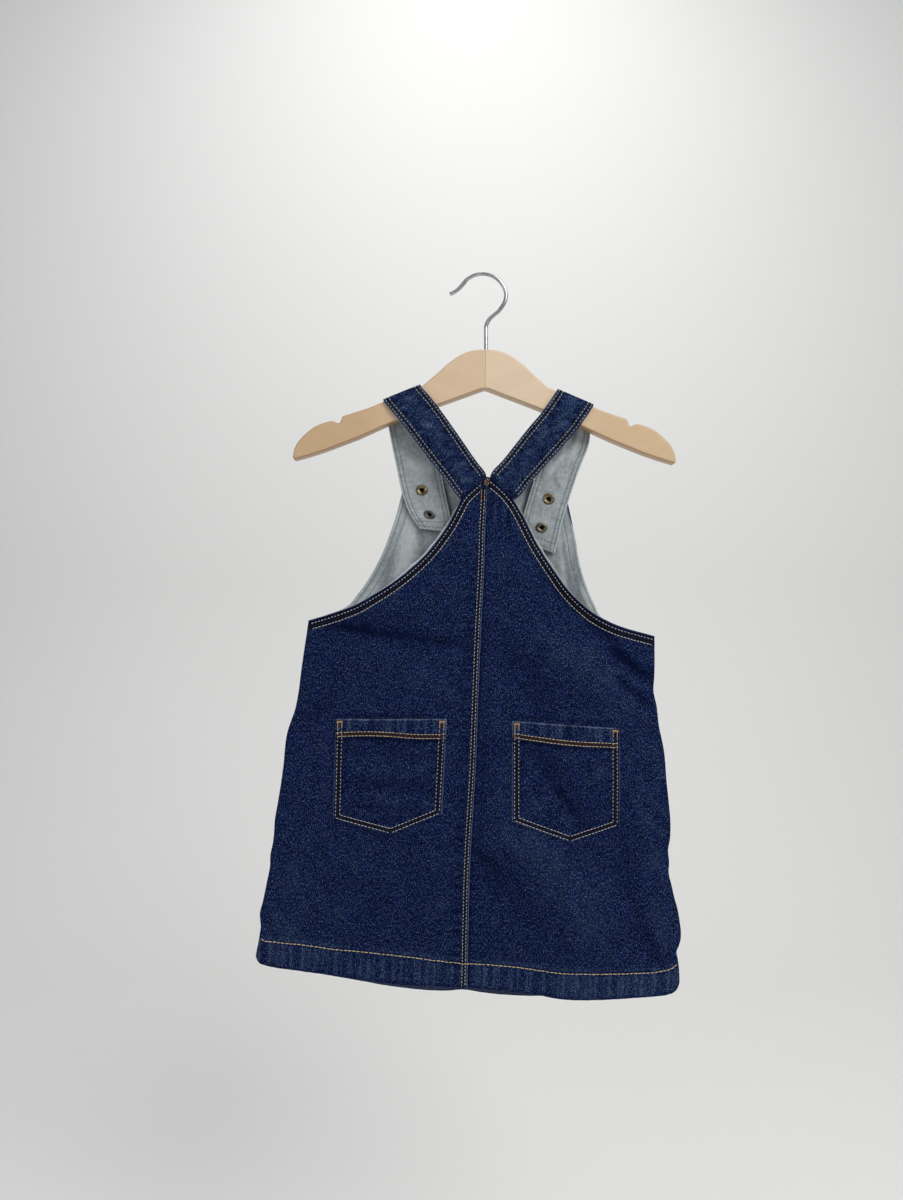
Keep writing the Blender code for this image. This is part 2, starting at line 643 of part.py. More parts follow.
def make_snaps():
    """Each snap's ring on the strap's lining and its plain cap on the bib's outside."""
    ring = (
        (RING_HOLE, 0),
        (RING_RADIUS, 0),
        (RING_RADIUS, RING_HEIGHT * 0.4),
        (RING_RADIUS * 0.8, RING_HEIGHT),
        (RING_HOLE * 1.3, RING_HEIGHT * 0.8),
        (RING_HOLE, RING_HEIGHT * 0.5),
    )
    cap = (
        (0, 0),
        (CAP_RADIUS, 0),
        (CAP_RADIUS, CAP_HEIGHT * 0.35),
        (CAP_RADIUS * 0.85, CAP_HEIGHT * 0.7),
        (CAP_RADIUS * 0.45, CAP_HEIGHT * 0.95),
        (0, CAP_HEIGHT),
    )
    for name, (x, z) in SNAPS.items():
        inside = strap_rest(x, z, "far") - 0.1
        out, down = to_dress(x, z)
        outside = depth_of("front", out, down) + LAYER_GAP
        turned_piece(f"snap_ring_{name}", ring, (x, inside, z), -1, "antique_brass")
        turned_piece(f"snap_cap_{name}", cap, (x, outside, z), 1, "antique_brass")


def main():
    clear_scene()
    make_materials()
    shares = np.append(np.linspace(0, 0.94, 13), (0.98, 1.0))
    make_back("back_left", -shares[::-1])
    make_back("back_right", shares)
    make_front()
    make_bib_lining()
    make_back_facing()
    make_fell()
    for name, pocket in POCKETS.items():
        make_pocket(name, pocket)
    for side, strap in STRAPS.items():
        make_strap(side, strap)
    make_snaps()
    bore = make_bore()
    make_board("hanger_left", -1, bore)
    make_board("hanger_right", 1, bore)
    make_hook()


main()
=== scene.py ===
"""The looks of a toddler's denim pinafore dress that hangs from a flat wooden hanger.

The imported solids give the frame. Each cloth piece here is a fine closed shell on its
solid's form, from the same sizes, with its creases, turned edges and rows of stitches.
Tables are in millimetres. Places on the dress are in its own upright frame: "out" is
across it, positive to the right seen from behind, "down" is below the point where the
straps meet, and depth is Y. The back faces -Y and the front faces +Y.
"""

import math

import bpy
import numpy as np
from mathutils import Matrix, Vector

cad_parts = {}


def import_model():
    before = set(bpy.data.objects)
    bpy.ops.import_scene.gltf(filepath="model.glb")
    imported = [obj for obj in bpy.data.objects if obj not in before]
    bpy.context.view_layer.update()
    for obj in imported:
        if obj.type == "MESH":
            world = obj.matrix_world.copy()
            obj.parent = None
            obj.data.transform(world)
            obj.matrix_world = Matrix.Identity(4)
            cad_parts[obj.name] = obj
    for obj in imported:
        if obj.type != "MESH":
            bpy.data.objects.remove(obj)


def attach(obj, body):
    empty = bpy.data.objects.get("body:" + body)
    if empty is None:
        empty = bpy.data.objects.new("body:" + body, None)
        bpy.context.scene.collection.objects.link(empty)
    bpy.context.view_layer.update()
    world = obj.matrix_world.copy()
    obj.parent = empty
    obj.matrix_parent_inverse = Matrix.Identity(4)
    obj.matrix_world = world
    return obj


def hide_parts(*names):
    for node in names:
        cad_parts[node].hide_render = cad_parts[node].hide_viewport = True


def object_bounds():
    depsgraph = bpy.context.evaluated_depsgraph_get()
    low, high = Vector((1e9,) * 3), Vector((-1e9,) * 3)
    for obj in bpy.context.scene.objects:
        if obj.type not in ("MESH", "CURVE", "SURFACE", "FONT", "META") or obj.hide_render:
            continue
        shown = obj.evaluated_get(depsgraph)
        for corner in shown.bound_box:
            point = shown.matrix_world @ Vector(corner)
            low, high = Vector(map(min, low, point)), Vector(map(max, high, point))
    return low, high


MM = 0.001
BODY_NAME = "root"
WORD = {-1: "left", 1: "right"}
WAY = {"back": -1, "front": 1}  # the way each side faces along Y

# ---------------------------------------------------------------- the part's own sizes

APEX_X, APEX_Z = 3.6, -158.0  # where the straps meet at the back
TILT = math.radians(2.6)  # how far the dress leans as it hangs

DENIM, FACING, STRAP_DENIM = 1.4, 1.0, 1.3
LAYER_GAP, FACING_GAP, SIDE_GAP = 0.3, 1.0, 0.2
HEM_DEPTH, HEM_WALL = 21.0, 2.6
SEAM_DOWN = 117.0  # the underarm, where the side seams start

# Half-widths of the skirt, of the back above the underarm and of the bib, by place down
SIDE = {
    "down": (0, 117, 150, 159, 172, 185, 205, 232, 245, 262, 274, 284, 292, 301, 310, 320, 329,
             338, 347, 353, 358, 362, 367, 376, 385, 410),
    "left": (121, 133.9, 137.4, 138.2, 139.2, 141.0, 146.6, 148.6, 149.8, 151.8, 153.3, 153.4,
             154.0, 155.5, 155.4, 156.9, 158.3, 159.8, 161.6, 161.0, 160.4, 160.9, 161.4, 162.8,
             163.8, 164.2),
    "right": (121, 135.8, 137.2, 137.0, 140.2, 142.2, 147.2, 150.8, 152.8, 155.0, 155.2, 154.1,
              155.3, 155.4, 157.9, 160.7, 163.6, 165.6, 167.0, 166.9, 165.6, 164.2, 165.4, 166.9,
              167.7, 169.0),
}
BACK_EDGE = {
    "down": (0, 8, 16, 26, 37, 50, 62, 74, 85, 95, 104, 111, 117),
    "left": (1.0, 10, 17.8, 22.8, 28, 36, 45, 56.8, 69.9, 84.5, 99.5, 116.5, 133.9),
    "right": (0.8, 11.6, 19.6, 26.8, 33, 40.5, 48.7, 58, 67.2, 78.4, 92, 109.5, 135.8),
}
BIB_EDGE = {
    "down": (0, 16, 30, 46, 64, 81, 95, 105, 111, 117),
    "left": (62.7, 66.1, 69.0, 73.5, 79.7, 87.8, 96.6, 104.8, 115, 133.9),
    "right": (61.2, 65.4, 69.1, 72.9, 76.8, 82.9, 89.8, 96.4, 108, 135.8),
}
# By share of the half-width: each side's lower edge, and how deep the hem is turned
HEM = {
    "share": (-1, -0.985, -0.95, -0.9, -0.8, -0.6, -0.3, -0.1, 0, 0.08, 0.2, 0.32, 0.44, 0.55,
              0.66, 0.78, 0.88, 0.94, 0.97, 0.985, 1),
    "back": (380, 384.2, 386.6, 387.8, 388.8, 390.9, 394.8, 394.6, 394.6, 394.8, 396.2, 397.6,
             400.6, 401, 400, 398.3, 396.8, 395.4, 393.4, 391, 385.5),
    "front": (379, 383, 386, 388.3, 390.4, 395.2, 401.6, 402.4, 400.8, 402.4, 403.6, 403.4,
              402.6, 402, 400.8, 398.4, 396, 394.2, 392, 389.4, 384.5),
    "depth": (16.4, 17.2, 18.9, 20.0, 20.8, 20.4, 22.4, 19.8, 19.0, 19.2, 20.0, 19.5, 20.4, 20.7,
              20.1, 19.4, 19.0, 19.4, 19.2, 18.0, 16.6),
}
# How far each side's middle stands off the middle plane, and how square its section is
BODY = {
    "down": (0, 50, 117, 200, 300, 400),
    "back": (6.4, 7.2, 8.4, 9.4, 9.0, 6.0),
    "front": (10.6, 10.6, 9.6, 9.0, 8.0, 5.6),
}
SIDE_HALF = SIDE_GAP + DENIM
ROUNDNESS = {"back": 2.4, "front": 3.5}

# Folds: from (out, down), to (out, down), half-width, and height out of the dress.
# Their steepness also paints shade in their hollows and highlight on their crests.
FOLDS = {
    "back": (
        (-124, 121, -14, 129.5, 6, -1.7), (-104, 114, -50, 116, 7, -1.0),
        (50, 70, 100, 118, 8, -2.8), (102, 128, 136, 150, 6, -2.4), (44, 116, 128, 182, 16, 2.6),
        (106, 150, 136, 172, 5, -1.4), (14, 124, 58, 178, 14, -2.2), (44, 205, 88, 262, 10, -1.8),
        (-106, 207, -34, 208, 8, -1.0), (-100, 240, -32, 241, 8, -1.1),
        (18, 248, 102, 356, 20, 3.4), (8, 292, 62, 352, 14, -2.6), (107, 246, 140, 362, 12, -2.4),
        (122, 238, 156, 356, 11, 2.4), (-138, 198, -112, 177, 7, -1.6),
        (-130, 300, -142, 372, 14, 1.8), (-70, 318, -84, 384, 16, -1.6),
    ),
    "front": (
        (-40, 150, -66, 380, 18, 2.6), (4, 60, -10, 380, 16, -2.4), (52, 140, 70, 385, 18, 2.4),
        (108, 190, 124, 370, 14, -2.2), (-104, 180, -122, 360, 14, -2.0),
        (-100, 112, -60, 140, 10, 1.8), (100, 112, 62, 138, 10, 1.8),
    ),
}

# Each pocket's mouth: its middle, its slope and the pocket's lean (degrees), and its width.
# Then its lengths down to the left corner, the point and the right corner, how wide it is
# 75 mm down as a share of its mouth, how much further down the band's rows are sewn (by share
# of the half-width), and the seed of its small creases.
POCKETS = {
    "pocket_left": {
        "out": -65.8, "down": 189.7, "slope": -3.1, "lean": 0.35, "width": 86.0,
        "lengths": (77.2, 88.9, 73.0), "taper": 0.977,
        "sag": ((-1, -0.4, 0, 0.45, 1), (0.9, -0.1, 0.5, 2.0, 2.2)), "seed": 200,
    },
    "pocket_right": {
        "out": 68.9, "down": 188.1, "slope": 1.75, "lean": 2.6, "width": 83.6,
        "lengths": (76.2, 90.1, 75.6), "taper": 1.007,
        "sag": ((-1, 0, 1), (-0.3, 2.3, 2.0)), "seed": 300,
    },
}
POCKET_POINT_AT = 0.075  # where the point is, as a share of the half-width
POCKET_BAND, POCKET_BAND_WALL = 15.0, 2.0
POCKET_WALL = 1.3

# The centre seam's line, and where the back's halves meet beside it
SEAM = {
    "down": (0, 16, 42, 67, 110, 175, 225, 283, 313, 344, 375, 400),
    "out": (-0.1, 0.2, 0.0, 0.5, 0.3, 0.5, 0.9, 0.1, 0.2, 0.9, 1.7, 2.3),
}
PANELS_MEET = -0.6
FELL_WIDTH, FELL_WALL = 5.6, 0.9

BACK_FACING_DEPTH = 27.0
BIB_FACING_DOWN = 136.0
FACING_SHARE = 0.92  # the facings end at this share of the half-width
STRAP_SEAT_FROM, STRAP_SEAT_TO = 22.0, 50.0

HANGER_X = 2.7
HANGER_TILT = math.radians(0.6)
BOARD, BOARD_ROUND = 12.0, 0.8
# The outline of the hanger's right half, from its middle to its tip and back below
BOARD_TOP = {
    "out": (0, 11.6, 20.5, 28.3, 37.8, 48.3, 90, 110),
    "drop": (59.0, 60.3, 64.2, 69.8, 78.4, 87.6, 105.2, 111.8),
}
BOARD_TIP = {
    "out": (110, 112.8, 117.4, 124, 131, 138, 143.2, 146.6, 148.3),
    "drop": (111.8, 117.1, 115.6, 116.9, 119.9, 125.2, 130.6, 136.2, 143.6),
}
BOARD_LOW = {
    "out": (147.4, 136, 124, 98, 72, 40, 0),
    "drop": (145.6, 142.4, 138.4, 128.2, 116.2, 103.6, 88.7),
}

WIRE_RADIUS, HOOK_RADIUS = 1.55, 18.55
HOOK_NECK = ((2.7, -39.5), (4.2, -35.8), (14.2, -25.6), (17.6, -19.6))
HOOK_ARC_FROM, HOOK_ARC_TO = math.radians(8), math.radians(148)
HOOK_TIP = ((-19.0, -10.6), (-21.8, -12.5), (-24.8, -14.0))

# Where each strap crosses the board, and its sections on the near side (-Y) from its seat
# up and on the far side down to its end, as (x, z, turn in degrees, width)
STRAPS = {
    "left": {
        "reach": -63.9,
        "near": (
            (-4.6, -169.6, 47, 24.4), (-7.8, -165.1, 43, 27.8), (-15.5, -154.8, 38, 28),
            (-33, -131.3, 36.7, 29.5), (-50, -108.6, 30, 30.5),
        ),
        "far": (
            (-57.0, -121, 14, 31.5), (-51.0, -145, 12, 33.4), (-45.6, -170, 8, 33.2),
            (-40.8, -186, 3, 30.5), (-36.4, -198.3, -6, 25),
        ),
    },
    "right": {
        "reach": 69.5,
        "near": (
            (13.6, -168.6, -43, 24.4), (17.0, -164.3, -41, 27.8), (25.5, -154.3, -40, 27.5),
            (43, -133.6, -39.7, 29), (61, -112.4, -32, 30),
        ),
        "far": (
            (69.2, -124, -18, 31.5), (61.0, -146, -18, 31.5), (54.2, -167, -17, 31),
            (48.2, -187, -17, 31), (42.4, -211.4, -19, 31),
        ),
    },
}
STRAP_LEAVES_BOARD, STRAP_MEETS_DRESS = -118.0, -150.0
STRAP_LAYERS = {
    "lining": (LAYER_GAP, LAYER_GAP + FACING),
    "denim": (2 * LAYER_GAP + FACING, 2 * LAYER_GAP + FACING + STRAP_DENIM),
}
STRAP_STACK = STRAP_LAYERS["denim"][1]

SNAPS = {
    "left_upper": (-47.5, -166.5),
    "left_lower": (-41.5, -185.8),
    "right_upper": (52.3, -173.6),
    "right_lower": (46.7, -196.0),
}
RING_RADIUS, RING_HOLE, RING_HEIGHT = 4.7, 1.8, 1.2
CAP_RADIUS, CAP_HEIGHT = 6.5, 2.6

# ---------------------------------------------------------------- what only shows here

# Smaller creases, in the same columns as the folds. Like the folds, their steepness also
# paints shade in their hollows and highlight on their crests; the thin lines along the
# pockets' edges are painted shadow.
CREASES = {
    "back": (
        (-122, 120.5, -14, 129.5, 2.4, -0.55), (-118, 119.5, -82, 121.5, 3, -0.5),
        (-118, 158, -104, 157, 3, -0.4), (-150, 340, -140, 341, 4, -0.5),
        (-150, 352, -134, 362, 6, 0.8), (-152, 320, -149, 336, 4, 0.5),
        (-124, 314, -98, 330, 8, -0.8), (-54, 150, -14, 170, 8, 0.6),
        (-46, 286, -40, 372, 10, -0.8), (-112, 340, -70, 350, 10, 0.7),
        (4.5, 8, 3.5, 34, 1.6, -0.5), (7.4, 10, 7, 36, 1.3, 0.35), (10.4, 15, 10, 40, 1.5, -0.5),
        (13.6, 16, 13, 38, 1.3, 0.35), (18, 23, 16, 42, 1.8, -0.4), (52, 79, 99, 119, 3.4, -1.3),
        (99, 119, 111, 132, 5, -1.1), (104, 131, 134, 151, 3, -0.9),
        (108, 151, 134, 171, 3.5, -0.8), (110, 126, 134, 142, 3, 0.6),
        (104, 141, 130, 161, 3.5, 0.6), (96, 150, 120, 170, 5, 0.6), (74, 126, 100, 152, 8, 0.7),
        (36, 140, 52, 176, 9, -0.9), (68, 165, 88, 172, 5, -0.5), (64, 236, 82, 260, 3, -1.2),
        (50, 205, 66, 238, 7, -1.1), (84, 261, 90, 268, 2.5, -0.5), (6.5, 185, 6, 288, 2.4, -0.5),
        (12, 200, 11, 270, 6, -0.5), (1, 287, 20, 299, 3, -1.0), (13, 303, 30, 322, 8, -1.3),
        (58, 328, 74, 334, 6, -0.7), (70, 345, 78, 372, 5, -0.6), (8, 352, 60, 366, 8, -0.7),
        (115, 236, 128, 262, 3, -0.9), (127, 260, 137, 292, 4.5, -1.0),
        (136, 292, 151, 332, 5, -0.9), (137, 342, 154, 374, 3.2, -1.0),
        (141, 330, 150, 346, 4, 0.8), (149, 345, 157, 362, 4, 0.7), (30, 284, 72, 290, 8, 0.7),
        (84, 318, 100, 350, 9, 0.8), (96, 300, 126, 345, 12, 0.8), (40, 268, 58, 288, 7, 0.5),
        (140, 200, 146, 236, 6, 0.8), (136, 241, 151, 256, 3, 0.5), (134, 257, 151, 272, 3, 0.5),
        (140, 284, 155, 300, 4, 0.6), (138, 249, 153, 263, 2.2, -0.4),
        (140, 268, 153, 282, 2.5, -0.4), (-98, 215, -34, 218, 3.5, -0.5),
        (-84, 239, -30, 245, 4, -0.7), (-96, 258, -38, 259, 2.6, -0.5),
        (-84, 229, -40, 231, 5, 0.6), (-80, 250, -44, 251, 4, 0.4),
        (-108, 189.8, -30, 185.4, 1.6, -0.45), (30, 183.6, 112, 186.2, 1.6, -0.45),
        (-80, 278, -60, 284.5, 3, -0.5), (-60, 284.5, -40, 279, 3, -0.5),
        (-112, 268, -92, 274, 3, -0.4),
    ),
    "front": (
        (-130, 124, -86, 138, 6, -1.2), (128, 122, 84, 140, 6, -1.2),
        (-112, 136, -80, 160, 6, 0.8), (110, 138, 84, 166, 6, 0.8), (-30, 20, -44, 90, 10, 0.7),
        (34, 16, 40, 96, 9, -0.7), (-8, 150, -26, 250, 10, 0.9), (22, 180, 30, 300, 10, -0.9),
        (-86, 200, -92, 320, 9, 0.9), (84, 220, 100, 330, 9, 0.9), (-136, 220, -148, 330, 9, -0.9),
        (132, 200, 148, 340, 9, 1.0), (-54, 300, -60, 384, 8, -0.9), (-14, 320, -18, 390, 9, 0.8),
        (36, 320, 44, 392, 8, 0.8), (86, 330, 92, 388, 8, -0.8),
    ),
}
# Soft creases of the bib's grey facing, seen from the back: out of it is towards -Y.
# By their height they also paint shade in their hollows and highlight on their crests; the dark
# lines beside the straps' ends and below the left one are painted shadow.
BIB_CREASES = (
    (-58, 30, -66, 108, 5, 0.9), (-70, 60, -88, 116, 4.5, -0.8), (-48, 62, -54, 118, 4, -0.7),
    (-80, 84, -100, 112, 4, 0.7), (-30, 20, -36, 110, 8, 0.6), (20, 10, 26, 100, 8, 0.6),
    (58, 34, 64, 110, 5, 0.8), (68, 52, 78, 104, 4.5, -0.8), (50, 66, 56, 112, 4, 0.6),
    (76, 80, 92, 112, 4, 0.7), (-36.5, -2, -27, 32, 1.8, -1.1), (34.5, 0, 29, 28, 1.8, -1.1),
    (-50, 41, -46, 68, 2.6, -0.7), (-40, 42, -38, 56, 7, -0.5), (57, 48, 60, 78, 4, -0.8),
    (66, 44, 74, 88, 2, 0.4), (60, 40, 70, 90, 1.6, -0.5), (-72, 52, -96, 104, 2, -0.4),
)
# Creases of the straps: from and to (along the strap from its seat, across it).
# They also paint shade in their hollows and highlight on their crests.
STRAP_CREASES = {
    "left": (
        (30, -8, 48, 7, 4, -0.4), (52, 8, 70, -6, 4, 0.4), (116, -2, 142, 10, 2.4, -0.6),
        (120, 6, 166, 12, 3, -0.5), (122, -3, 140, 4, 3, 0.5), (160, -8, 172, 9, 4, 0.4),
    ),
    "right": (
        (28, 8, 46, -6, 4, -0.4), (50, -8, 66, 5, 4, 0.4), (114, 5, 142, 3, 2, -0.7),
        (118, 8, 150, 7, 2.4, 0.5), (128, -9, 150, -3, 2, -0.7), (122, -2, 138, -6, 2, 0.5),
        (140, -9, 156, -4, 1.8, -0.5), (146, 2, 168, -6, 2, 0.4), (166, -2, 176, 6, 1.8, -0.5),
    ),
}

# Rows of stitches, by how far they lie from the edge that they follow
ARMHOLE_ROWS = (2.4, 6.0)
UNDERARM_WIDER = 0.2  # the rows' distances grow by this share towards the underarm
FELL_ROWS = (1.85, 4.25)
POCKET_ROWS = (1.5, 4.7)
POCKET_SIDE_MORE = 0.6  # the rows lie this much further in along the pockets' sides
POCKET_HEM_ROWS = (9.6, 12.6)
STRAP_ROWS = (1.7, 4.7)
STRAP_END_ROWS = (3.0, 7.5)
BIB_ROWS = (2.1, 6.6)
BIB_RISE = 2.0  # the bib's top edge, above where the straps meet at the back
BIB_ROLL = 1.1  # how far the bib's denim rolls over its facing at the upper right
RIM = 2.7  # how far the back's facing shows past its armhole edges
BAND_ENDS = 7.3  # the doubled cloth along an armhole ends just past its second row
BAND_RISE = 0.45
FOLD_SHADE = 1.7  # how strongly a fold's steepness shows as painted shade and highlight
ROW_GROOVE, ROW_HALF = 0.38, 0.55

# A stitch's length, the share of it that shows, its place in that, and the thread's radius
STITCH = {"pitch": 2.7, "share": 0.80, "phase": 0.13, "radius": 0.27}

CELL = 1.6  # the fine shells' mesh size
EDGE_STEPS = (0.0, 0.1, 0.3, 0.6, 1.0)  # distances from a turned edge, where it rounds off
ROW_STEPS = (-0.8, -0.4, 0.0, 0.4, 0.8)  # and on both sides of a row of stitches

# Soft hills over each side: height, wavelength and seed
HILLS = {
    "back": ((0.22, 34, 11), (0.07, 11, 13)),
    "front": ((0.22, 34, 12), (0.07, 11, 14)),
}
# Each side's sewn upper edge: its rows, where its doubled band fades out, the puckers' wave
# and reach, their seed, the downs between which its worn lip fades in, and its hem's seed
SEWN = {
    "back": {"rows": ARMHOLE_ROWS, "band": (BAND_ENDS + 0.7, BAND_ENDS - 0.7), "wave": 7.5,
             "reach": 9, "seed": 21, "lip": (26, 12), "wear": 41},
    "front": {"rows": BIB_ROWS, "band": (BIB_ROWS[1] + 1.4, BIB_ROWS[1]), "wave": 8,
              "reach": 10, "seed": 31, "lip": (9, 2), "wear": 43},
}
# Width and length that cloths were cut to, and the area of the seam's strip, folded once
CUT = {
    "back": (170, 430), "front": (335, 430), "fell": (2 * FELL_WIDTH, 395, 394 * FELL_WIDTH),
    "bib_facing": (268, 137), "back_facing": (340, BACK_FACING_DEPTH), "strap_width": 33,
}
FRONT_HEM = 328  # the width of the front's turned hem

# ------------------------------------------------------------------------ small maths


def smooth_table(xs, ys, x):
    """A smooth curve through a table's points, read at x (cubic, with the chords' slopes)."""
    xs, ys, x = (np.asarray(v, float) for v in (xs, ys, x))
    slopes = np.gradient(ys, xs)
    i = np.clip(np.searchsorted(xs, x, side="right") - 1, 0, len(xs) - 2)
    width = xs[i + 1] - xs[i]
    t = np.clip((x - xs[i]) / width, 0.0, 1.0)
    return (
        (2 * t**3 - 3 * t**2 + 1) * ys[i]
        + (t**3 - 2 * t**2 + t) * width * slopes[i]
        + (3 * t**2 - 2 * t**3) * ys[i + 1]
        + (t**3 - t**2) * width * slopes[i + 1]
    )


def smoothstep(low, high, x):
    t = np.clip((x - low) / (high - low), 0.0, 1.0)
    return t * t * (3 - 2 * t)


def bell(x, middle, half):
    """1 at the middle, and fading to nothing on both sides of it."""
    return np.exp(-(((x - middle) / half) ** 2))


def unit(vectors):
    return vectors / np.linalg.norm(vectors, axis=-1, keepdims=True)


def distances(places):
    """How far along a run of places each one is."""
    return np.concatenate([[0], np.cumsum(np.linalg.norm(np.diff(places, axis=0), axis=1))])


def uneven(at, wave, seed):
    """An irregular ripple along a line, mostly between -1 and 1, of about that wavelength."""
    dice = np.random.default_rng(seed)
    total = 0.0
    for stretch in (0.55, 0.78, 1.0, 1.35, 1.9):
        phase, weight = dice.uniform(0, 2 * math.pi), dice.uniform(0.5, 1.0)
        total = total + weight * np.sin(2 * math.pi * at / (wave * stretch) + phase)
    return total / 2.2


def rolling(out, down, wave, seed):
    """Irregular soft hills and hollows over a surface, mostly between -1 and 1."""
    dice = np.random.default_rng(seed)
    total = 0.0
    for stretch in (0.6, 0.75, 0.9, 1.1, 1.4, 1.8, 2.3):
        turn, phase = dice.uniform(0, math.pi), dice.uniform(0, 2 * math.pi)
        across = out * math.cos(turn) + down * math.sin(turn)
        total = total + np.sin(2 * math.pi * across / (wave * stretch) + phase)
    return total / 3.0


def ticks(along, pitch, seed):
    """Short puckers across a seam: 1 at each one's hollow, and 0 between them."""
    phase = along / pitch + 0.3 * uneven(along, 4 * pitch, seed)
    strong = 0.75 + 0.4 * uneven(along, 2.6 * pitch, seed + 1)
    return (0.5 + 0.5 * np.cos(2 * math.pi * phase)) ** 2 * np.clip(strong, 0.4, 1)


def edge_round(distance, radius):
    """From 0 at a turned edge to 1 at a radius inside it, along a quarter circle."""
    inside = np.clip(distance / radius, 0.0, 1.0)
    return np.maximum(np.sqrt(1 - (1 - inside) ** 2), 0.06)


def grooves(distance, rows):
    """How deep the rows of stitches press the cloth, from 0 to 1."""
    return sum(bell(distance, row, ROW_HALF) for row in rows)


def band_place(distance, rows):
    """A place between two rows of stitches: 0 on the first one and 1 on the second."""
    return (distance - rows[0]) / (rows[1] - rows[0])


def steps_along(length, cell, ends=(EDGE_STEPS, EDGE_STEPS), rows=()):
    """Distances along a line of that length, closer together at its ends and at rows."""
    fine = set(ends[0]) | {length - step for step in ends[1]}
    fine |= {row + step for row in rows for step in ROW_STEPS}
    fine = sorted(at for at in fine if 0 <= at <= length)
    found = [fine[0]]
    for at in fine[1:]:
        gap = at - found[-1]
        if gap > cell:
            found += list(np.linspace(found[-1], at, math.ceil(gap / cell) + 1)[1:])
        elif gap > 0.05:
            found.append(at)
    return np.array(found)


def shares_across(width, cell, rows, half):
    """Places across a strip, from -half to half, closer together at its edges and at rows."""
    scale = width / (2 * half)
    even = steps_along(width, cell) / scale - half
    near = [half - (row + step) / scale for row in rows for step in ROW_STEPS]
    return np.unique(np.round(np.concatenate([even, near, [-share for share in near]]), 5))


class Line:
    """A line of (out, down) places, with the distances along it."""

    def __init__(self, places):
        self.places = np.asarray(places, float)
        self.along = distances(self.places)
        self.length = self.along[-1]

    def at(self, along):
        return np.stack([np.interp(along, self.along, column) for column in self.places.T], axis=-1)

    def nearest(self, out, down):
        """How far places are from the line, and where along it they are nearest."""
        points = np.stack([np.ravel(out), np.ravel(down)], axis=1)
        best, where = np.full(len(points), np.inf), np.zeros(len(points))
        runs = np.diff(self.places, axis=0)
        for start, run, length, base in zip(self.places, runs, np.diff(self.along), self.along):
            reach = np.clip((points - start) @ run / length**2, 0.0, 1.0)
            gap = np.hypot(*(points - start - reach[:, None] * run).T)
            closer = gap < best
            best[closer], where[closer] = gap[closer], base + reach[closer] * length
        return best.reshape(np.shape(out)), where.reshape(np.shape(out))


# ------------------------------------------------------------------ the dress's surfaces


def half_width(table, share, down):
    """A table's half-width on the side that the share's sign says."""
    left, right = (smooth_table(table["down"], table[word], down) for word in ("left", "right"))
    return np.where(np.asarray(share) < 0, left, right)


def fold_height(folds, out, down, steep=False):
    """The folds' height at a place: each is a soft ridge along a line that fades at its ends.
    With steep it is their height over half-width, which says how much they shade the cloth."""
    total = np.zeros_like(np.asarray(out, float) + np.asarray(down, float))
    for out_a, down_a, out_b, down_b, half, height in folds:
        run_out, run_down = out_b - out_a, down_b - down_a
        length = math.hypot(run_out, run_down)
        along = ((out - out_a) * run_out + (down - down_a) * run_down) / length**2
        away = ((out - out_a) * run_down - (down - down_a) * run_out) / length
        ends = smoothstep(-0.18, 0.22, along) * smoothstep(1.18, 0.78, along)
        total += (height / half if steep else height) * ends * bell(away, 0, half)
    return total


def stand_off(side, out, down, creases=True):
    """How far a side's cloth stands off the dress's middle plane."""
    share = np.clip(np.abs(out) / half_width(SIDE, out, down), 0.0, 1.0)
    stand = smooth_table(BODY["down"], BODY[side], down) * (1 - share ** ROUNDNESS[side])
    relief = fold_height(FOLDS[side], out, down)
    if creases:
        relief = relief + fold_height(CREASES[side], out, down)
        for size, wave, seed in HILLS[side]:
            relief = relief + size * rolling(out, down, wave, seed)
    return SIDE_HALF + stand + relief * (1 - share**6)


def depth_of(side, out, down, creases=True):
    """Y of the outer face of the back (negative) or the front (positive), before sewing."""
    return WAY[side] * stand_off(side, out, down, creases)


def to_world(out, down, y):
    x = APEX_X + out * math.cos(TILT) - down * math.sin(TILT)
    z = APEX_Z - out * math.sin(TILT) - down * math.cos(TILT)
    return np.stack(np.broadcast_arrays(x, y, z), axis=-1)


def to_dress(x, z):
    across, below = x - APEX_X, APEX_Z - z
    return (
        across * math.cos(TILT) + below * math.sin(TILT),
        below * math.cos(TILT) - across * math.sin(TILT),
    )


def seam_out(down):
    return smooth_table(SEAM["down"], SEAM["out"], down)


def hem_read(column, out, down):
    """A column of the hem's table at a place's share of the half-width: a side's lower edge,
    or how deep the hem is turned."""
    share = np.clip(out / half_width(SIDE, out, down), -1.0, 1.0)
    return smooth_table(HEM["share"], HEM[column], share)


def hem_place(side, out, down):
    """How far above the hem's edge a place is, where its row of stitches is HEM_DEPTH above."""
    gap = np.maximum(hem_read(side, out, down) - down, 0)
    return gap * HEM_DEPTH / hem_read("depth", out, down)


def edge_places(table, sign, downs):
    """Places on a table's left (-1) or right (1) edge."""
    outs = sign * smooth_table(table["down"], table[WORD[sign]], downs)
    return np.stack([outs, downs], axis=1)


def armhole_line(sign):
    """The back's armhole edge on one side, from the centre seam to the underarm."""
    places = edge_places(BACK_EDGE, sign, np.linspace(0, SEAM_DOWN, 140))
    return Line(np.concatenate([[(seam_out(0) + PANELS_MEET, 0.0)], places]))


def bib_line():
    """The bib's edge from the left underarm, over its top, to the right underarm."""
    downs = np.linspace(-BIB_RISE, SEAM_DOWN, 90)
    left, right = (edge_places(BIB_EDGE, sign, downs) for sign in (-1, 1))
    return Line(np.concatenate([left[::-1], right]))


ARMHOLES = {sign: armhole_line(sign) for sign in (-1, 1)}
BIB = bib_line()


def armhole_spread(along):
    """How much wider the doubled edge is sewn at a distance along the armhole."""
    return 1 + UNDERARM_WIDER * smoothstep(70, 160, np.abs(along))


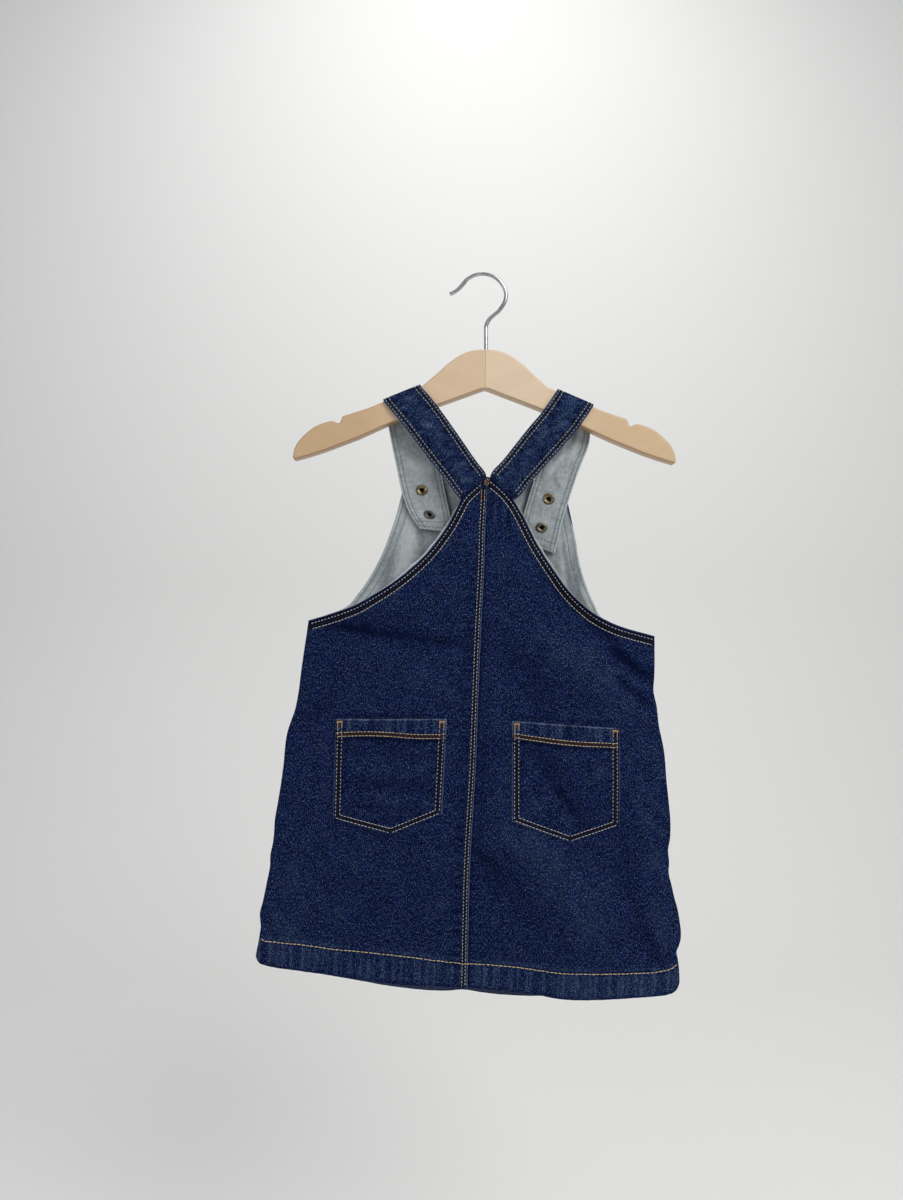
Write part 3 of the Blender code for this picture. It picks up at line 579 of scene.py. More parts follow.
def edge_distance(side, out, down):
    """How far a place is from its side's sewn upper edge, and how far along that edge. On the
    back the first is in units that the widening of its sewing stretches."""
    if side == "front":
        return BIB.nearest(out, down)
    left, along_left = ARMHOLES[-1].nearest(out, down)
    right, along_right = ARMHOLES[1].nearest(out, down)
    along = np.where(left < right, -along_left, along_right)
    return np.where(left < right, left, right) / armhole_spread(along), along


def hem_relief(distance, out, seed):
    """The turned hem: a pressed row of stitches, and upright puckers that end at it."""
    inside = smoothstep(HEM_DEPTH + 6, HEM_DEPTH - 1, distance)
    puckers = uneven(out + 0.05 * distance * uneven(out, 40, seed + 1), 10, seed)
    swell = 0.34 * puckers * inside * (0.45 + 0.55 * smoothstep(0, HEM_DEPTH, distance))
    ridge = 0.25 * smoothstep(HEM_DEPTH + 1.6, HEM_DEPTH - 0.8, distance)
    return swell + ridge - ROW_GROOVE * grooves(distance, (HEM_DEPTH,))


def seam_puckers(out, down):
    """The hollows of the short puckers on both sides of the centre seam, from 0 to 1."""
    left = seam_out(down) - FELL_WIDTH - out
    right = out - seam_out(down)
    reach = smoothstep(11, 3, left) * smoothstep(-1, 1, left)
    reach = reach + 0.6 * smoothstep(8, 2, right) * smoothstep(-1, 1, right)
    return ticks(down, 6.6, 22) * reach * smoothstep(60, 90, down)


def face_of(side, out, down):
    """Y of a side's finished outer face, moved outwards by its sewing and pressing."""
    sewn = SEWN[side]
    edge, along = edge_distance(side, out, down)
    band = BAND_RISE * smoothstep(*sewn["band"], edge) - ROW_GROOVE * grooves(edge, sewn["rows"])
    relief = band + 0.22 * uneven(along, sewn["wave"], sewn["seed"]) * bell(edge, 0, sewn["reach"])
    if side == "back":
        relief = relief - 0.6 * seam_puckers(out, down)
    relief = relief + hem_relief(hem_place(side, out, down), out, sewn["seed"] + 2)
    return WAY[side] * (stand_off(side, out, down) + relief)


# ------------------------------------------------------------------------------ meshes


def finish_piece(obj, replaced=()):
    bpy.context.scene.collection.objects.link(obj)
    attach(obj, BODY_NAME)
    if replaced:
        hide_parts(*replaced)


def mesh_object(name, points, faces, material, marks=None, flat=None):
    """A smooth-shaded object from points in mm, with values per point and a flat layout."""
    mesh = bpy.data.meshes.new(name)
    mesh.from_pydata((np.asarray(points, float).reshape(-1, 3) * MM).tolist(), [], faces)
    for mark, values in (marks or {}).items():
        layer = mesh.attributes.new(mark, "FLOAT", "POINT")
        layer.data.foreach_set("value", np.ravel(values).astype(np.float32))
    if flat is not None:
        corners = np.empty(len(mesh.loops), np.int32)
        mesh.loops.foreach_get("vertex_index", corners)
        layer = mesh.uv_layers.new(name="cloth")
        layer.data.foreach_set("uv", flat.astype(np.float32)[corners].ravel())
    mesh.materials.append(material)
    mesh.shade_smooth()
    return bpy.data.objects.new(name, mesh)


def grid(rows, columns):
    return np.arange(rows * columns).reshape(rows, columns)


def quads(index, closed=False):
    """Faces between neighbours in a grid of point numbers, whose rows may close on themselves."""
    if closed:
        index = np.column_stack([index, index[:, 0]])
    corners = [index[:-1, :-1], index[:-1, 1:], index[1:, 1:], index[1:, :-1]]
    return np.stack(corners, axis=-1).reshape(-1, 4)


def tube_faces(rings, sides):
    """A closed tube's faces, with its two flat ends last."""
    index = grid(rings, sides)
    return quads(index, closed=True).tolist() + [index[0][::-1].tolist(), index[-1].tolist()]


def inside_out(points, faces):
    """Whether the faces of a closed mesh look inwards."""
    a, b, c, d = (points[faces[:, i]] for i in range(4))
    return np.einsum("ij,ij->i", a, np.cross(b, c) + np.cross(c, d)).sum() < 0


def cloth_shell(name, outer, inner, material, flat, marks, node):
    """A closed wall between two grids of points, with the rim that joins them, which shows a
    node's cloth."""
    index = grid(*outer.shape[:2])
    size = index.size
    rim = np.concatenate([index[0], index[1:, -1], index[-1, -2::-1], index[-2:0:-1, 0]])
    ahead = np.roll(rim, -1)
    edge = np.stack([ahead, rim, rim + size, ahead + size], axis=-1)
    faces = np.concatenate([quads(index), quads(index + size)[:, ::-1], edge])
    points = np.concatenate([outer.reshape(-1, 3), inner.reshape(-1, 3)])
    if inside_out(points, faces):
        faces = faces[:, ::-1]
    both = {mark: np.tile(np.ravel(values), 2) for mark, values in marks.items()}
    both["reverse"] = np.repeat([0.0, 1.0], size)
    flat = np.tile(np.stack(flat, axis=-1).reshape(-1, 2), (2, 1))
    piece = mesh_object(name, points, faces.tolist(), material, both, flat)
    finish_piece(piece, [node])


def dress_cloth(name, places, depths, material, marks, node, flat=None):
    """A cloth shell between two depths at places on the dress, which are its flat layout too
    unless another is given."""
    outer, inner = (to_world(*places, y) for y in depths)
    cloth_shell(name, outer, inner, material, flat or places, marks, node)


def flat_area(out, down):
    """The area of a flat grid of places, mm2."""
    a_out, a_down = (v[:-1, :-1] - v[1:, 1:] for v in (out, down))
    b_out, b_down = (v[:-1, 1:] - v[1:, :-1] for v in (out, down))
    return float(np.abs(a_out * b_down - a_down * b_out).sum() / 2)


# ------------------------------------------------------------------------------ panels


def patch(top, bottom, inner, outer, s, t):
    """Places of a four-sided panel whose edges are four lines, by its shares s and t."""
    s, t = s[..., None], t[..., None]
    return (
        (1 - t) * top.at(s[..., 0] * top.length)
        + t * bottom.at(s[..., 0] * bottom.length)
        + (1 - s) * inner.at(t[..., 0] * inner.length)
        + s * outer.at(t[..., 0] * outer.length)
        - (1 - s) * (1 - t) * top.places[0]
        - s * (1 - t) * top.places[-1]
        - (1 - s) * t * bottom.places[0]
        - s * t * bottom.places[-1]
    )


def panel_grid(borders, columns, cell, top_steps):
    """A panel's grid: rows run along its sewn top edge first, then down to its hem."""
    top, bottom = borders[:2]
    s = columns / top.length
    start = patch(*borders, s, np.zeros_like(s))
    pull = (patch(*borders, s, np.full_like(s, 0.02)) - start) / 0.02
    tangent = unit(np.gradient(top.at(columns), axis=0))
    normal = np.stack([-tangent[:, 1], tangent[:, 0]], axis=1)
    ends = bottom.at(s * bottom.length)
    lengths = np.hypot(*(ends - start).T)
    head = np.outer(top_steps, 1 / np.abs((pull * normal).sum(axis=1)))
    hem_steps = steps_along(HEM_DEPTH + 4, cell, (EDGE_STEPS, (0.0,)), (HEM_DEPTH,))[::-1]
    tail = 1 - np.outer(hem_steps, hem_read("depth", *ends.T) / HEM_DEPTH / lengths)
    count = int((lengths.max() - top_steps[-1] - hem_steps[0]) / cell)
    middle = head[-1] + (tail[0] - head[-1]) * np.linspace(0, 1, count)[1:-1, None]
    t = np.clip(np.concatenate([head, middle, tail]), 0, 1)
    places = patch(*borders, np.broadcast_to(s, t.shape), t)
    return places[..., 0], places[..., 1]


def line_of(outs, downs):
    return Line(np.stack([outs, downs], axis=1))


def side_line(sign):
    """The side seam on one side, from the underarm to the hem."""
    downs = np.linspace(SEAM_DOWN, smooth_table(HEM["share"], HEM["back"], sign), 120)
    return line_of(sign * half_width(SIDE, sign, downs), downs)


def make_panel(side, name, node, borders, cell, ends, top_steps, cloth, cut, shift=0.0):
    """A panel from its four borders: a wall that is thicker in its hem and closes at its
    side seams."""
    columns = steps_along(borders[0].length, cell, ends)
    out, down = panel_grid(borders, columns, cell, top_steps)
    out = out + shift
    edge, along = edge_distance(side, out, down)
    hem = hem_place(side, out, down)
    half = (DENIM + (HEM_WALL - DENIM) * smoothstep(HEM_DEPTH + 3, HEM_DEPTH - 3, hem)) / 2
    turned = edge_round(edge, DENIM / 2 + 0.2) * edge_round(hem, HEM_WALL / 2)
    middle = WAY[side] * face_of(side, out, down) - half
    inner = np.maximum(middle - half * turned, SIDE_GAP / 2)
    to_side = np.maximum(half_width(SIDE, out, down) - np.abs(out), 0)
    closing = 1 - smoothstep(SEAM_DOWN - 6, SEAM_DOWN, down) * (1 - edge_round(to_side, 1.5))
    outer = np.maximum(inner + (middle + half * turned - inner) * closing, inner + 0.03)
    # The third mark holds the hem's wear and the folds' painted shade and highlight; on the back it
    # also holds painted shadow and shade along its rows and seam.
    marks = {
        "edge": np.minimum(edge + 3 * smoothstep(*SEWN[side]["lip"], down), 50),
        "band": band_place(edge, SEWN[side]["rows"]),
        "wear_and_shade": hem_wear(out, hem, SEWN[side]["wear"]) + fold_shading(side, out, down),
    }
    if side == "back":
        marks["wear_and_shade"] += back_shade_and_wear(out, down, edge, hem, along)
    else:
        marks["wear_and_shade"] += 0.04 * rolling(out, down, 30, 44)
    width, length, hem_width = cut
    cut = (width, length, flat_area(out, down) + HEM_DEPTH * hem_width)
    depths = (WAY[side] * outer, WAY[side] * inner)
    dress_cloth(name, (out, down), depths, cloth, marks, node)


def make_back(sign, cloth):
    """One half of the back, from the centre seam to its side seam."""
    top, outer = ARMHOLES[sign], side_line(sign)
    seam_downs = np.linspace(0, smooth_table(HEM["share"], HEM["back"], 0.0), 120)
    seam = line_of(seam_out(seam_downs) + PANELS_MEET, seam_downs)
    shares = np.linspace(0, 1, 120)
    seam_end, side_end = seam.places[-1, 0], outer.places[-1, 0]
    hem = smooth_table(HEM["share"], HEM["back"], sign * shares)
    bottom = line_of(seam_end + shares * (side_end - seam_end), hem)
    name = f"back_{WORD[sign]}"
    ends = ((0.0, 0.5, 1.0, 1.5, 2.0), EDGE_STEPS + (1.5,))
    top_steps = steps_along(BAND_ENDS + 2, 0.8, (EDGE_STEPS, (0.0,)), ARMHOLE_ROWS)
    make_panel("back", f"{name}_cloth", name, (top, bottom, seam, outer), CELL, ends, top_steps,
               cloth, (*CUT["back"], abs(side_end)), sign * 0.02)


def make_front(cloth):
    """The front in one piece, from the bib's top to the hem."""
    left, right = (side_line(sign) for sign in (-1, 1))
    shares = np.linspace(-1, 1, 200)
    outs = np.abs(shares) * np.where(shares < 0, left.places[-1, 0], right.places[-1, 0])
    bottom = line_of(outs, smooth_table(HEM["share"], HEM["front"], shares))
    top_steps = steps_along(BIB_ROWS[1] + 2, 1.2, (EDGE_STEPS, (0.0,)), BIB_ROWS)
    make_panel("front", "front_cloth", "front_panel", (BIB, bottom, left, right), CELL * 1.5,
               (EDGE_STEPS + (1.5,),) * 2, top_steps, cloth, (*CUT["front"], FRONT_HEM))


def worn_streaks(along, wave, seed):
    """Worn spots along a doubled edge: mostly 0, and up to 1 where the cloth is palest."""
    return np.clip(0.45 + 0.8 * uneven(along, wave, seed), 0, 1) ** 2


def hem_wear(out, hem, seed):
    """The hem's worn upright streaks, paler than the cloth above it, and darker along its bottom
    edge.
    """
    inside = smoothstep(HEM_DEPTH + 0.5, HEM_DEPTH - 1.5, hem)
    broad = 0.1 * uneven(out, 40, seed + 1) + 0.14 * smoothstep(76, 90, out)
    low = smoothstep(-1, 5, hem)
    streak = low * (0.62 * worn_streaks(out, 6.5, seed) - 0.02)
    return inside * (streak + broad - 0.25 * (1 - low))


def fold_shading(side, out, down):
    """Painted shade in the folds' hollows and painted highlight on their crests, by how steep they
    are, from -1 to 1.
    """
    steep = FOLD_SHADE * fold_height(FOLDS[side] + CREASES[side], out, down, steep=True)
    return np.clip(np.where(steep > 0, 0.4 * steep, steep), -1, 1)


def back_shade_and_wear(out, down, edge, hem, along):
    """Where the back is painted paler or darker besides: painted shadow in thin lines next to
    the hem's row and beside the felled seam's folded edge, painted shade in the puckers'
    hollows by the seam and along the armholes, darker cloth between the armholes' edges and
    their first rows, paler lines above the hem's row and beside the armholes' second rows,
    and random paler and darker patches.
    """
    return (
        0.3 * bell(hem, HEM_DEPTH + 2.8, 1.5)
        - 0.5 * bell(hem, HEM_DEPTH - 1.3, 0.6)
        - 0.6 * bell(hem, HEM_DEPTH + 0.9, 0.45) * smoothstep(20, 60, out)
        - 0.9 * bell(out - seam_out(down), 0.8, 0.5) * smoothstep(20, 40, down)
        - 1.1 * seam_puckers(out, down)
        - 0.9 * smoothstep(ARMHOLE_ROWS[0] - 0.2, ARMHOLE_ROWS[0] - 0.8, edge)
        + bell(edge, ARMHOLE_ROWS[1] + 2.2, 1.3) * (0.1 - 0.25 * ticks(along, 6.4, 45))
        + 0.07 * rolling(out, down, 16, 42)
    )


def make_fell(cloth):
    """The felled centre seam: its folded edge at the right, pressed flat at the left."""
    last = smooth_table(HEM["share"], HEM["back"], 0) - 0.4
    across = FELL_WIDTH - steps_along(FELL_WIDTH, 0.8, rows=FELL_ROWS)
    away, down = np.meshgrid(across, steps_along(last - 1.4, CELL) + 1.4)
    narrow = smooth_table(BACK_EDGE["down"], BACK_EDGE["left"], down) - 0.5
    out = np.maximum(seam_out(down) - away, -narrow)
    to_end = np.minimum(down - down[0, 0], down[-1, 0] - down)
    rise = FELL_WALL * edge_round(away, 0.8) * smoothstep(FELL_WIDTH + 0.1, FELL_WIDTH - 1.6, away)
    rise = rise * edge_round(to_end, 0.8) - 0.32 * grooves(away, FELL_ROWS)
    rise = np.maximum(rise + 0.12 * uneven(down, 8, 51) * smoothstep(0, 1, away), 0.05)
    marks = {
        "edge": np.minimum(away, 50),
        "band": band_place(away, FELL_ROWS),
        "wear_and_shade": 0.12 + 0.1 * uneven(down, 12, 52) + 0.2 * smoothstep(last - 24, last - 18, down)
        + 0.45 * smoothstep(0.7, 0.2, away) * smoothstep(20, 40, down),
    }
    base = face_of("back", out, down) - 0.04
    dress_cloth("centre_seam_cloth", (out, down), (base - rise, base), cloth, marks,
                "centre_back_seam")


# ----------------------------------------------------------------------------- pockets


def pocket_half(pocket, below):
    """Half a pocket's width at a place below its mouth."""
    taper = 1 + (pocket["taper"] - 1) * np.minimum(below / 75, 1)
    return taper * pocket["width"] / 2


def pocket_place(pocket, beside, below):
    """Where a place on a pocket lies on the back: beside its middle, below its top edge."""
    out = pocket["out"] + beside + below * math.tan(math.radians(pocket["lean"]))
    down = pocket["down"] + below + beside * math.tan(math.radians(pocket["slope"]))
    return out, down


def from_band(pocket, beside, below):
    """How far below its mouth a place on a pocket is, where the band's rows are level."""
    sag = smooth_table(*pocket["sag"], beside / pocket_half(pocket, 0))
    return below - sag * smoothstep(0, 9, below)


def pocket_length(pocket, share):
    """A pocket's length from its mouth to its pointed end, by share of the half-width."""
    return np.interp(share, (-1, POCKET_POINT_AT, 1), pocket["lengths"])


def pocket_puckers(pocket, beside, below, sewn):
    """Hollows of the short puckers just inside a pocket's sewn edges, from 0 to 1."""
    reach = smoothstep(13, 6, sewn) * smoothstep(4.2, 5.4, sewn)
    return ticks(below + 0.9 * beside, 6.4, pocket["seed"]) * reach * smoothstep(13, 16, below)


def pocket_rise(pocket, beside, below):
    """How far the pocket's face stands off the back, its distance from the sewn edges, and
    its wall."""
    half = pocket_half(pocket, below)
    side = half - np.abs(beside) - POCKET_SIDE_MORE
    left, point, right = pocket["lengths"]
    slant = math.cos(math.atan((point - (left + right) / 2) / np.max(half)))
    sewn = np.minimum(side, (pocket_length(pocket, beside / half) - below) * slant)
    level = from_band(pocket, beside, below)
    band = 1 - smoothstep(POCKET_BAND - 2.2, POCKET_BAND - 0.4, level)
    wall = POCKET_WALL + band * (POCKET_BAND_WALL - POCKET_WALL)
    puff = 0.7 * smoothstep(4, 26, sewn) * (1 - smoothstep(50, 88, below) * 0.4)
    puff = puff - 0.5 * bell(level, POCKET_BAND + 1, 2) * smoothstep(2, 9, side)
    mouth = 0.5 * smoothstep(6, 30, side) * (1 - smoothstep(0, 14, below))
    pucker = 0.35 * uneven(beside, 8.5, pocket["seed"] + 1) * bell(below, 6, 7)
    pucker = pucker - 0.6 * pocket_puckers(pocket, beside, below, sewn)
    pressed = grooves(sewn, POCKET_ROWS) * smoothstep(3, 5, below) + grooves(level, POCKET_HEM_ROWS)
    return wall + puff + mouth + pucker - ROW_GROOVE * pressed, sewn, wall


def make_pocket(name, pocket, cloth):
    point, seed = pocket["lengths"][1], pocket["seed"]
    rows = [row + POCKET_SIDE_MORE for row in POCKET_ROWS]
    across = shares_across(pocket["width"], 1.5, rows, 1.0)
    share, row = np.meshgrid(across, steps_along(point, 1.0) / point)
    below = row * pocket_length(pocket, share)
    beside = share * pocket_half(pocket, below)
    rise, sewn, wall = pocket_rise(pocket, beside, below)
    out, down = pocket_place(pocket, beside, below)
    base = face_of("back", out, down) - 0.05
    side = np.minimum(pocket_half(pocket, below) - np.abs(beside), sewn + POCKET_SIDE_MORE)
    free = np.minimum(side, below)
    turned = edge_round(side, 0.9) * edge_round(below, 0.9)
    outer = base - rise * turned
    lift = np.maximum(rise - wall, 0) * smoothstep(0, 8, sewn)
    inner = np.maximum(base - lift * turned - 0.02, outer + 0.04)
    streak = worn_streaks(beside, 5.5, seed + 2)
    hollows = np.clip(uneven(beside, 17, seed + 6), 0, 1)
    level = from_band(pocket, beside, below)
    # The third mark holds worn streaks, a worn edge and random tone, and painted shade: in random
    # hollows of the band, under the band's second row, in the puckers' hollows, and with painted
    # highlight by the folds.
    marks = {
        "edge": np.minimum(free, 50),
        "band": np.where(
            level < POCKET_BAND - 0.8,
            band_place(level, POCKET_HEM_ROWS),
            band_place(sewn, POCKET_ROWS),
        ),
        "brown": smoothstep(POCKET_BAND, POCKET_BAND - 1, level),
        "wear_and_shade": (1 - smoothstep(8, 10, level)) * (0.6 * streak - 0.6 * hollows - 0.04)
        + 0.5 * smoothstep(1.0, 0.3, free)
        - 0.75 * bell(level, POCKET_HEM_ROWS[1] + 2.2, 1.3)
        - 1.1 * pocket_puckers(pocket, beside, below, sewn)
        + fold_shading("back", out, down) * smoothstep(8, 16, below)
        + 0.14 * rolling(out, down, 15, seed + 3) * smoothstep(4, 10, sewn),
    }
    dress_cloth(f"{name}_cloth", (out, down), (outer, inner), cloth, marks, name,
                flat=(beside, below))


# ----------------------------------------------------------------------------- facings


def lining_shade(creases, along, beside):
    """Painted shade of a lining (in its hollows and beside what lies on it) or painted highlight
    (on its crests), by its creases.
    """
    return np.clip(fold_height(creases, along, beside), -1, 0.35)


def bib_facing_depths(out, down):
    """Y of the bib facing's far side, and how far its near side stands off that by its folds
    and its sewing."""
    edge, along = BIB.nearest(out, down)
    relief = fold_height(BIB_CREASES, out, down) + 0.15 * rolling(out, down, 22, 61)
    relief = relief - 0.3 * grooves(edge, BIB_ROWS) + 0.2 * uneven(along, 7, 62) * np.exp(-edge / 8)
    rise = FACING + np.clip(relief * smoothstep(0.2, 2.0, edge), -0.8, 3)
    return depth_of("front", out, down) - DENIM - 0.18, rise


def make_bib_facing(cloth):
    """The grey facing inside the bib."""
    rows = steps_along(BIB_FACING_DOWN + BIB_RISE, 2.0) - BIB_RISE
    shares = steps_along(2.0, 0.022, ((0, 0.002, 0.006, 0.012),) * 2) - 1
    share, down = np.meshgrid(shares, rows)
    reach = FACING_SHARE * half_width(SIDE, share, down)
    rolled = smoothstep(40, 24, down) * smoothstep(0.3, 0.6, share)
    inset = (BIB_ROLL + 0.8) * rolled - 0.8
    out = np.clip(share * (half_width(BIB_EDGE, share, down) - inset), -reach, reach)
    edge, _ = BIB.nearest(out, down)
    free = np.minimum(edge, BIB_FACING_DOWN - down)
    base, rise = bib_facing_depths(out, down)
    near = np.minimum(base - rise * edge_round(free, 0.9), base - 0.04)
    # The third mark paints shade and highlight by the creases, and a line of painted shade along a
    # fold 9.6 mm in from the edge.
    marks = {
        "edge": np.minimum(free + 3 * smoothstep(9, 2, down), 50),
        "band": band_place(edge, BIB_ROWS),
        "wear_and_shade": lining_shade(BIB_CREASES, out, down)
        - 0.55 * bell(edge, 9.6, 0.8) * smoothstep(5, 15, out),
    }
    dress_cloth("bib_facing_cloth", (out, down), (near, base), cloth, marks, "bib_lining")


def make_back_facing(cloth):
    """The grey facing behind the armhole edges of the back, and its rim above them."""
    downs = np.linspace(0, 112, 90)
    left, right = (edge_places(BACK_EDGE, sign, downs) for sign in (-1, 1))
    edge_out, edge_down = np.concatenate([left[::-1], right]).T
    out, below = np.meshgrid(edge_out, steps_along(BACK_FACING_DEPTH, 1.6))
    peep = RIM * (1 - 0.85 * smoothstep(62, 96, edge_down)) * smoothstep(19, 32, edge_down)
    peep = peep * (0.9 + 0.2 * uneven(edge_out, 14, 63)) - 1.2 * smoothstep(24, 12, edge_down)
    down = edge_down - peep + below
    flat = (out, down)
    reach = FACING_SHARE * half_width(SIDE, out, down)
    out = np.clip(out, -reach, reach)
    seat = 1 - smoothstep(STRAP_SEAT_FROM, STRAP_SEAT_TO, down)
    deep = smoothstep(0, 6, below)
    lift = DENIM + 0.2 + (FACING_GAP - 0.2) * deep + seat * deep * (STRAP_STACK + LAYER_GAP)
    near = depth_of("back", out, down) + lift
    wall = FACING * edge_round(np.minimum(below, BACK_FACING_DEPTH - below), 0.7)
    marks = {"edge": np.minimum(0.4 * below - 0.7, 50), "band": below * 0 - 1}
    dress_cloth("back_facing_cloth", (out, down), (near, near + wall), cloth, marks,
                "back_facing", flat=flat)


# ------------------------------------------------------------------------------ straps


def turned_board(out, z):
    """A place on the hanger as it hangs, a little turned."""
    x = HANGER_X + out
    return (
        x * math.cos(HANGER_TILT) + z * math.sin(HANGER_TILT),
        z * math.cos(HANGER_TILT) - x * math.sin(HANGER_TILT),
    )


def board_edge(out):
    """X and Z of the board's top edge."""
    return turned_board(out, -np.interp(abs(out), BOARD_TOP["out"], BOARD_TOP["drop"]))


def strap_rest(x, z, side):
    """Y of what a strap lies on: the board's face, then the dress's own layers."""
    out, down = to_dress(x, z)
    if side == "near":
        board = -BOARD / 2
        dress = depth_of("back", out, down, False) + DENIM + LAYER_GAP + STRAP_STACK
    else:
        board = BOARD / 2
        layers = DENIM + FACING_GAP + FACING + LAYER_GAP + STRAP_STACK
        dress = depth_of("front", out, down, False) - layers
    return board + (dress - board) * smoothstep(STRAP_LEAVES_BOARD, STRAP_MEETS_DRESS, z)


class StrapPath:
    """A strap's cross-sections from its seat in the back, over the board, to its end."""

    def __init__(self, strap):
        edge_x, edge_z = board_edge(strap["reach"])
        ahead_x, ahead_z = board_edge(strap["reach"] + math.copysign(6, strap["reach"]))
        slope = math.degrees(math.atan2(ahead_z - edge_z, ahead_x - edge_x))
        self.slope = slope + 180 if slope < -90 else slope
        lean = math.radians(self.slope)
        self.up = np.array((-math.sin(lean), 0.0, math.cos(lean)))
        self.sideways = np.array((math.cos(lean), 0.0, math.sin(lean)))
        self.width = strap["near"][-1][3] * 1.02
        self.shoulder = np.array((edge_x, 0.0, edge_z)) - self.up * BOARD_ROUND
        at_edge = (self.shoulder[0], self.shoulder[2], self.slope, self.width)
        self.near, self.far = (
            (distances(rows[:, :2]), rows)
            for rows in (np.array([*strap["near"], at_edge]), np.array([at_edge, *strap["far"]]))
        )
        self.corner = math.pi / 2 * (BOARD_ROUND + 1.2)
        self.over = BOARD - 2 * BOARD_ROUND
        self.near_length, self.far_length = self.near[0][-1], self.far[0][-1]
        self.length = self.near_length + 2 * self.corner + self.over + self.far_length

    def section(self, along):
        """Rest point, way across, facing and width of the section at a distance along it."""
        for side, table, start, sign in (
            ("near", self.near, 0, -1),
            ("far", self.far, self.length - self.far_length, 1),
        ):
            at, rows = table
            if start <= along <= start + at[-1]:
                x, z, turn, width = (float(smooth_table(at, row, along - start)) for row in rows.T)
                across = np.array((math.cos(math.radians(turn)), 0.0, math.sin(math.radians(turn))))
                return np.array((x, 0.0, z)), across, np.array((0.0, sign, 0.0)), width, side
        on_top = along - self.near_length
        half = BOARD / 2 - BOARD_ROUND
        if on_top < self.corner:
            turn, y = on_top / self.corner * math.pi / 2, -half
        elif on_top < self.corner + self.over:
            turn, y = math.pi / 2, -half + on_top - self.corner
        else:
            turn, y = math.pi / 2 * (1 + (on_top - self.corner - self.over) / self.corner), half
        facing = np.array((0, -math.cos(turn), 0)) + self.up * math.sin(turn)
        rest = self.shoulder + np.array((0, y, 0)) + facing * BOARD_ROUND
        return rest, self.sideways, facing, self.width, "top"

    def places(self, alongs, acrosses, height):
        """Points at distances along and shares across the strap, at heights off its rest."""
        points = np.empty(alongs.shape + (3,))
        facings = np.empty_like(points)
        for i, along in enumerate(alongs[:, 0]):
            rest, sideways, facing, width, side = self.section(along)
            line = rest + acrosses[i][:, None] * width * sideways
            if side != "top":
                line[:, 1] = strap_rest(line[:, 0], line[:, 2], side)
            points[i] = line + facing * height[i][:, None]
            facings[i] = facing
        return points, facings

    def widths(self, alongs):
        return np.array([self.section(along)[3] for along in alongs])

    def over_board(self, along):
        """1 where the strap is over the board's top, and 0 away from it."""
        on_top = self.near_length + self.corner + self.over / 2
        return np.exp(-(((along - on_top) / 12) ** 4))


def strap_relief(side, path, layer, along, beside):
    """Creases and puckers of a strap, as heights, by mm along it and off its middle."""
    soft = fold_height(STRAP_CREASES[side], along, beside)
    hills = rolling(along, beside, 15, 71 if side == "left" else 75)
    over = path.over_board(along)
    return (1.3 * soft + 0.34 * hills) * (1 - over) - over * (1.0 if layer == "denim" else 0.45)


def strap_layer(side, path, layer, cloth):
    """One layer of a strap: its denim outside or its grey lining."""
    low, high = STRAP_LAYERS[layer]
    wall, middle = high - low, (low + high) / 2
    outside = layer == "denim"
    cell = 1.2 if outside else 1.6
    alongs = steps_along(path.length, cell)
    width = path.widths(alongs)[:, None]
    share, along = np.meshgrid(shares_across(width.mean(), cell, STRAP_ROWS, 0.5), alongs)
    beside = share * width
    edge = 0.5 * width - np.abs(beside)
    end = path.length - along
    free = np.minimum(np.minimum(edge, along), end)
    turned = edge_round(free, wall / 2 + 0.1)
    relief = middle + strap_relief(side, path, layer, along, beside)
    seed = 81 if side == "left" else 85
    along_edge = along + 3 * np.sign(share)
    hollows = ticks(along_edge, 6.0, seed + 2)
    hollows = hollows * smoothstep(12, 5.5, edge) * smoothstep(4.0, 5.0, edge)
    sewn = 0.3 * uneven(along_edge, 6.2, seed) * bell(edge, 0, 6)
    if outside:
        swell = 0.5 * smoothstep(STRAP_ROWS[1] + 0.5, STRAP_ROWS[1] + 5, edge) - 0.5 * hollows
        sewn = sewn + swell * (1 - path.over_board(along))
    sewn = sewn - 0.34 * (grooves(edge, STRAP_ROWS) + grooves(end, STRAP_END_ROWS))
    outer = relief + (wall / 2 + (sewn if outside else 0)) * turned
    inner = relief - (wall / 2 + (0 if outside else sewn)) * turned
    top, _ = path.places(along, share, np.maximum(outer, inner + 0.05))
    under, _ = path.places(along, share, inner)
    creases = STRAP_CREASES[side]
    # On the denim the third mark holds random worn tone, painted shade in the puckers' hollows, and
    # painted shade and highlight by the creases' steepness; on the lining it holds painted shade
    # and highlight by the creases.
    marks = {
        "edge": np.minimum(free, 50),
        "band": np.clip(band_place(edge, STRAP_ROWS), -1, 3),
        "wear_and_shade": 0.14 + 0.3 * rolling(along, beside, 9, seed + 1) - 1.1 * hollows
        + 2.2 * fold_height(creases, along, beside, steep=True)
        if outside else 1.5 * lining_shade(creases, along, beside),
    }
    name = f"strap_{side}" if outside else f"strap_lining_{side}"
    cloth_shell(f"{name}_cloth", top, under, cloth, (beside, along), marks, name)


# ---------------------------------------------------------------------------- stitches

# One stitch along X: rings of (place along it, share of the thread's radius, dip)
STITCH_RINGS = ((-0.5, 0.25, -0.9), (-0.42, 0.85, -0.35), (-0.15, 1.0, 0.0), (0.15, 1.0, 0.0),
                (0.42, 0.85, -0.35), (0.5, 0.25, -0.9))
STITCH_SIDES = 6
TO_BACK, TO_FRONT = (0.0, -1.0, 0.0), (0.0, 1.0, 0.0)


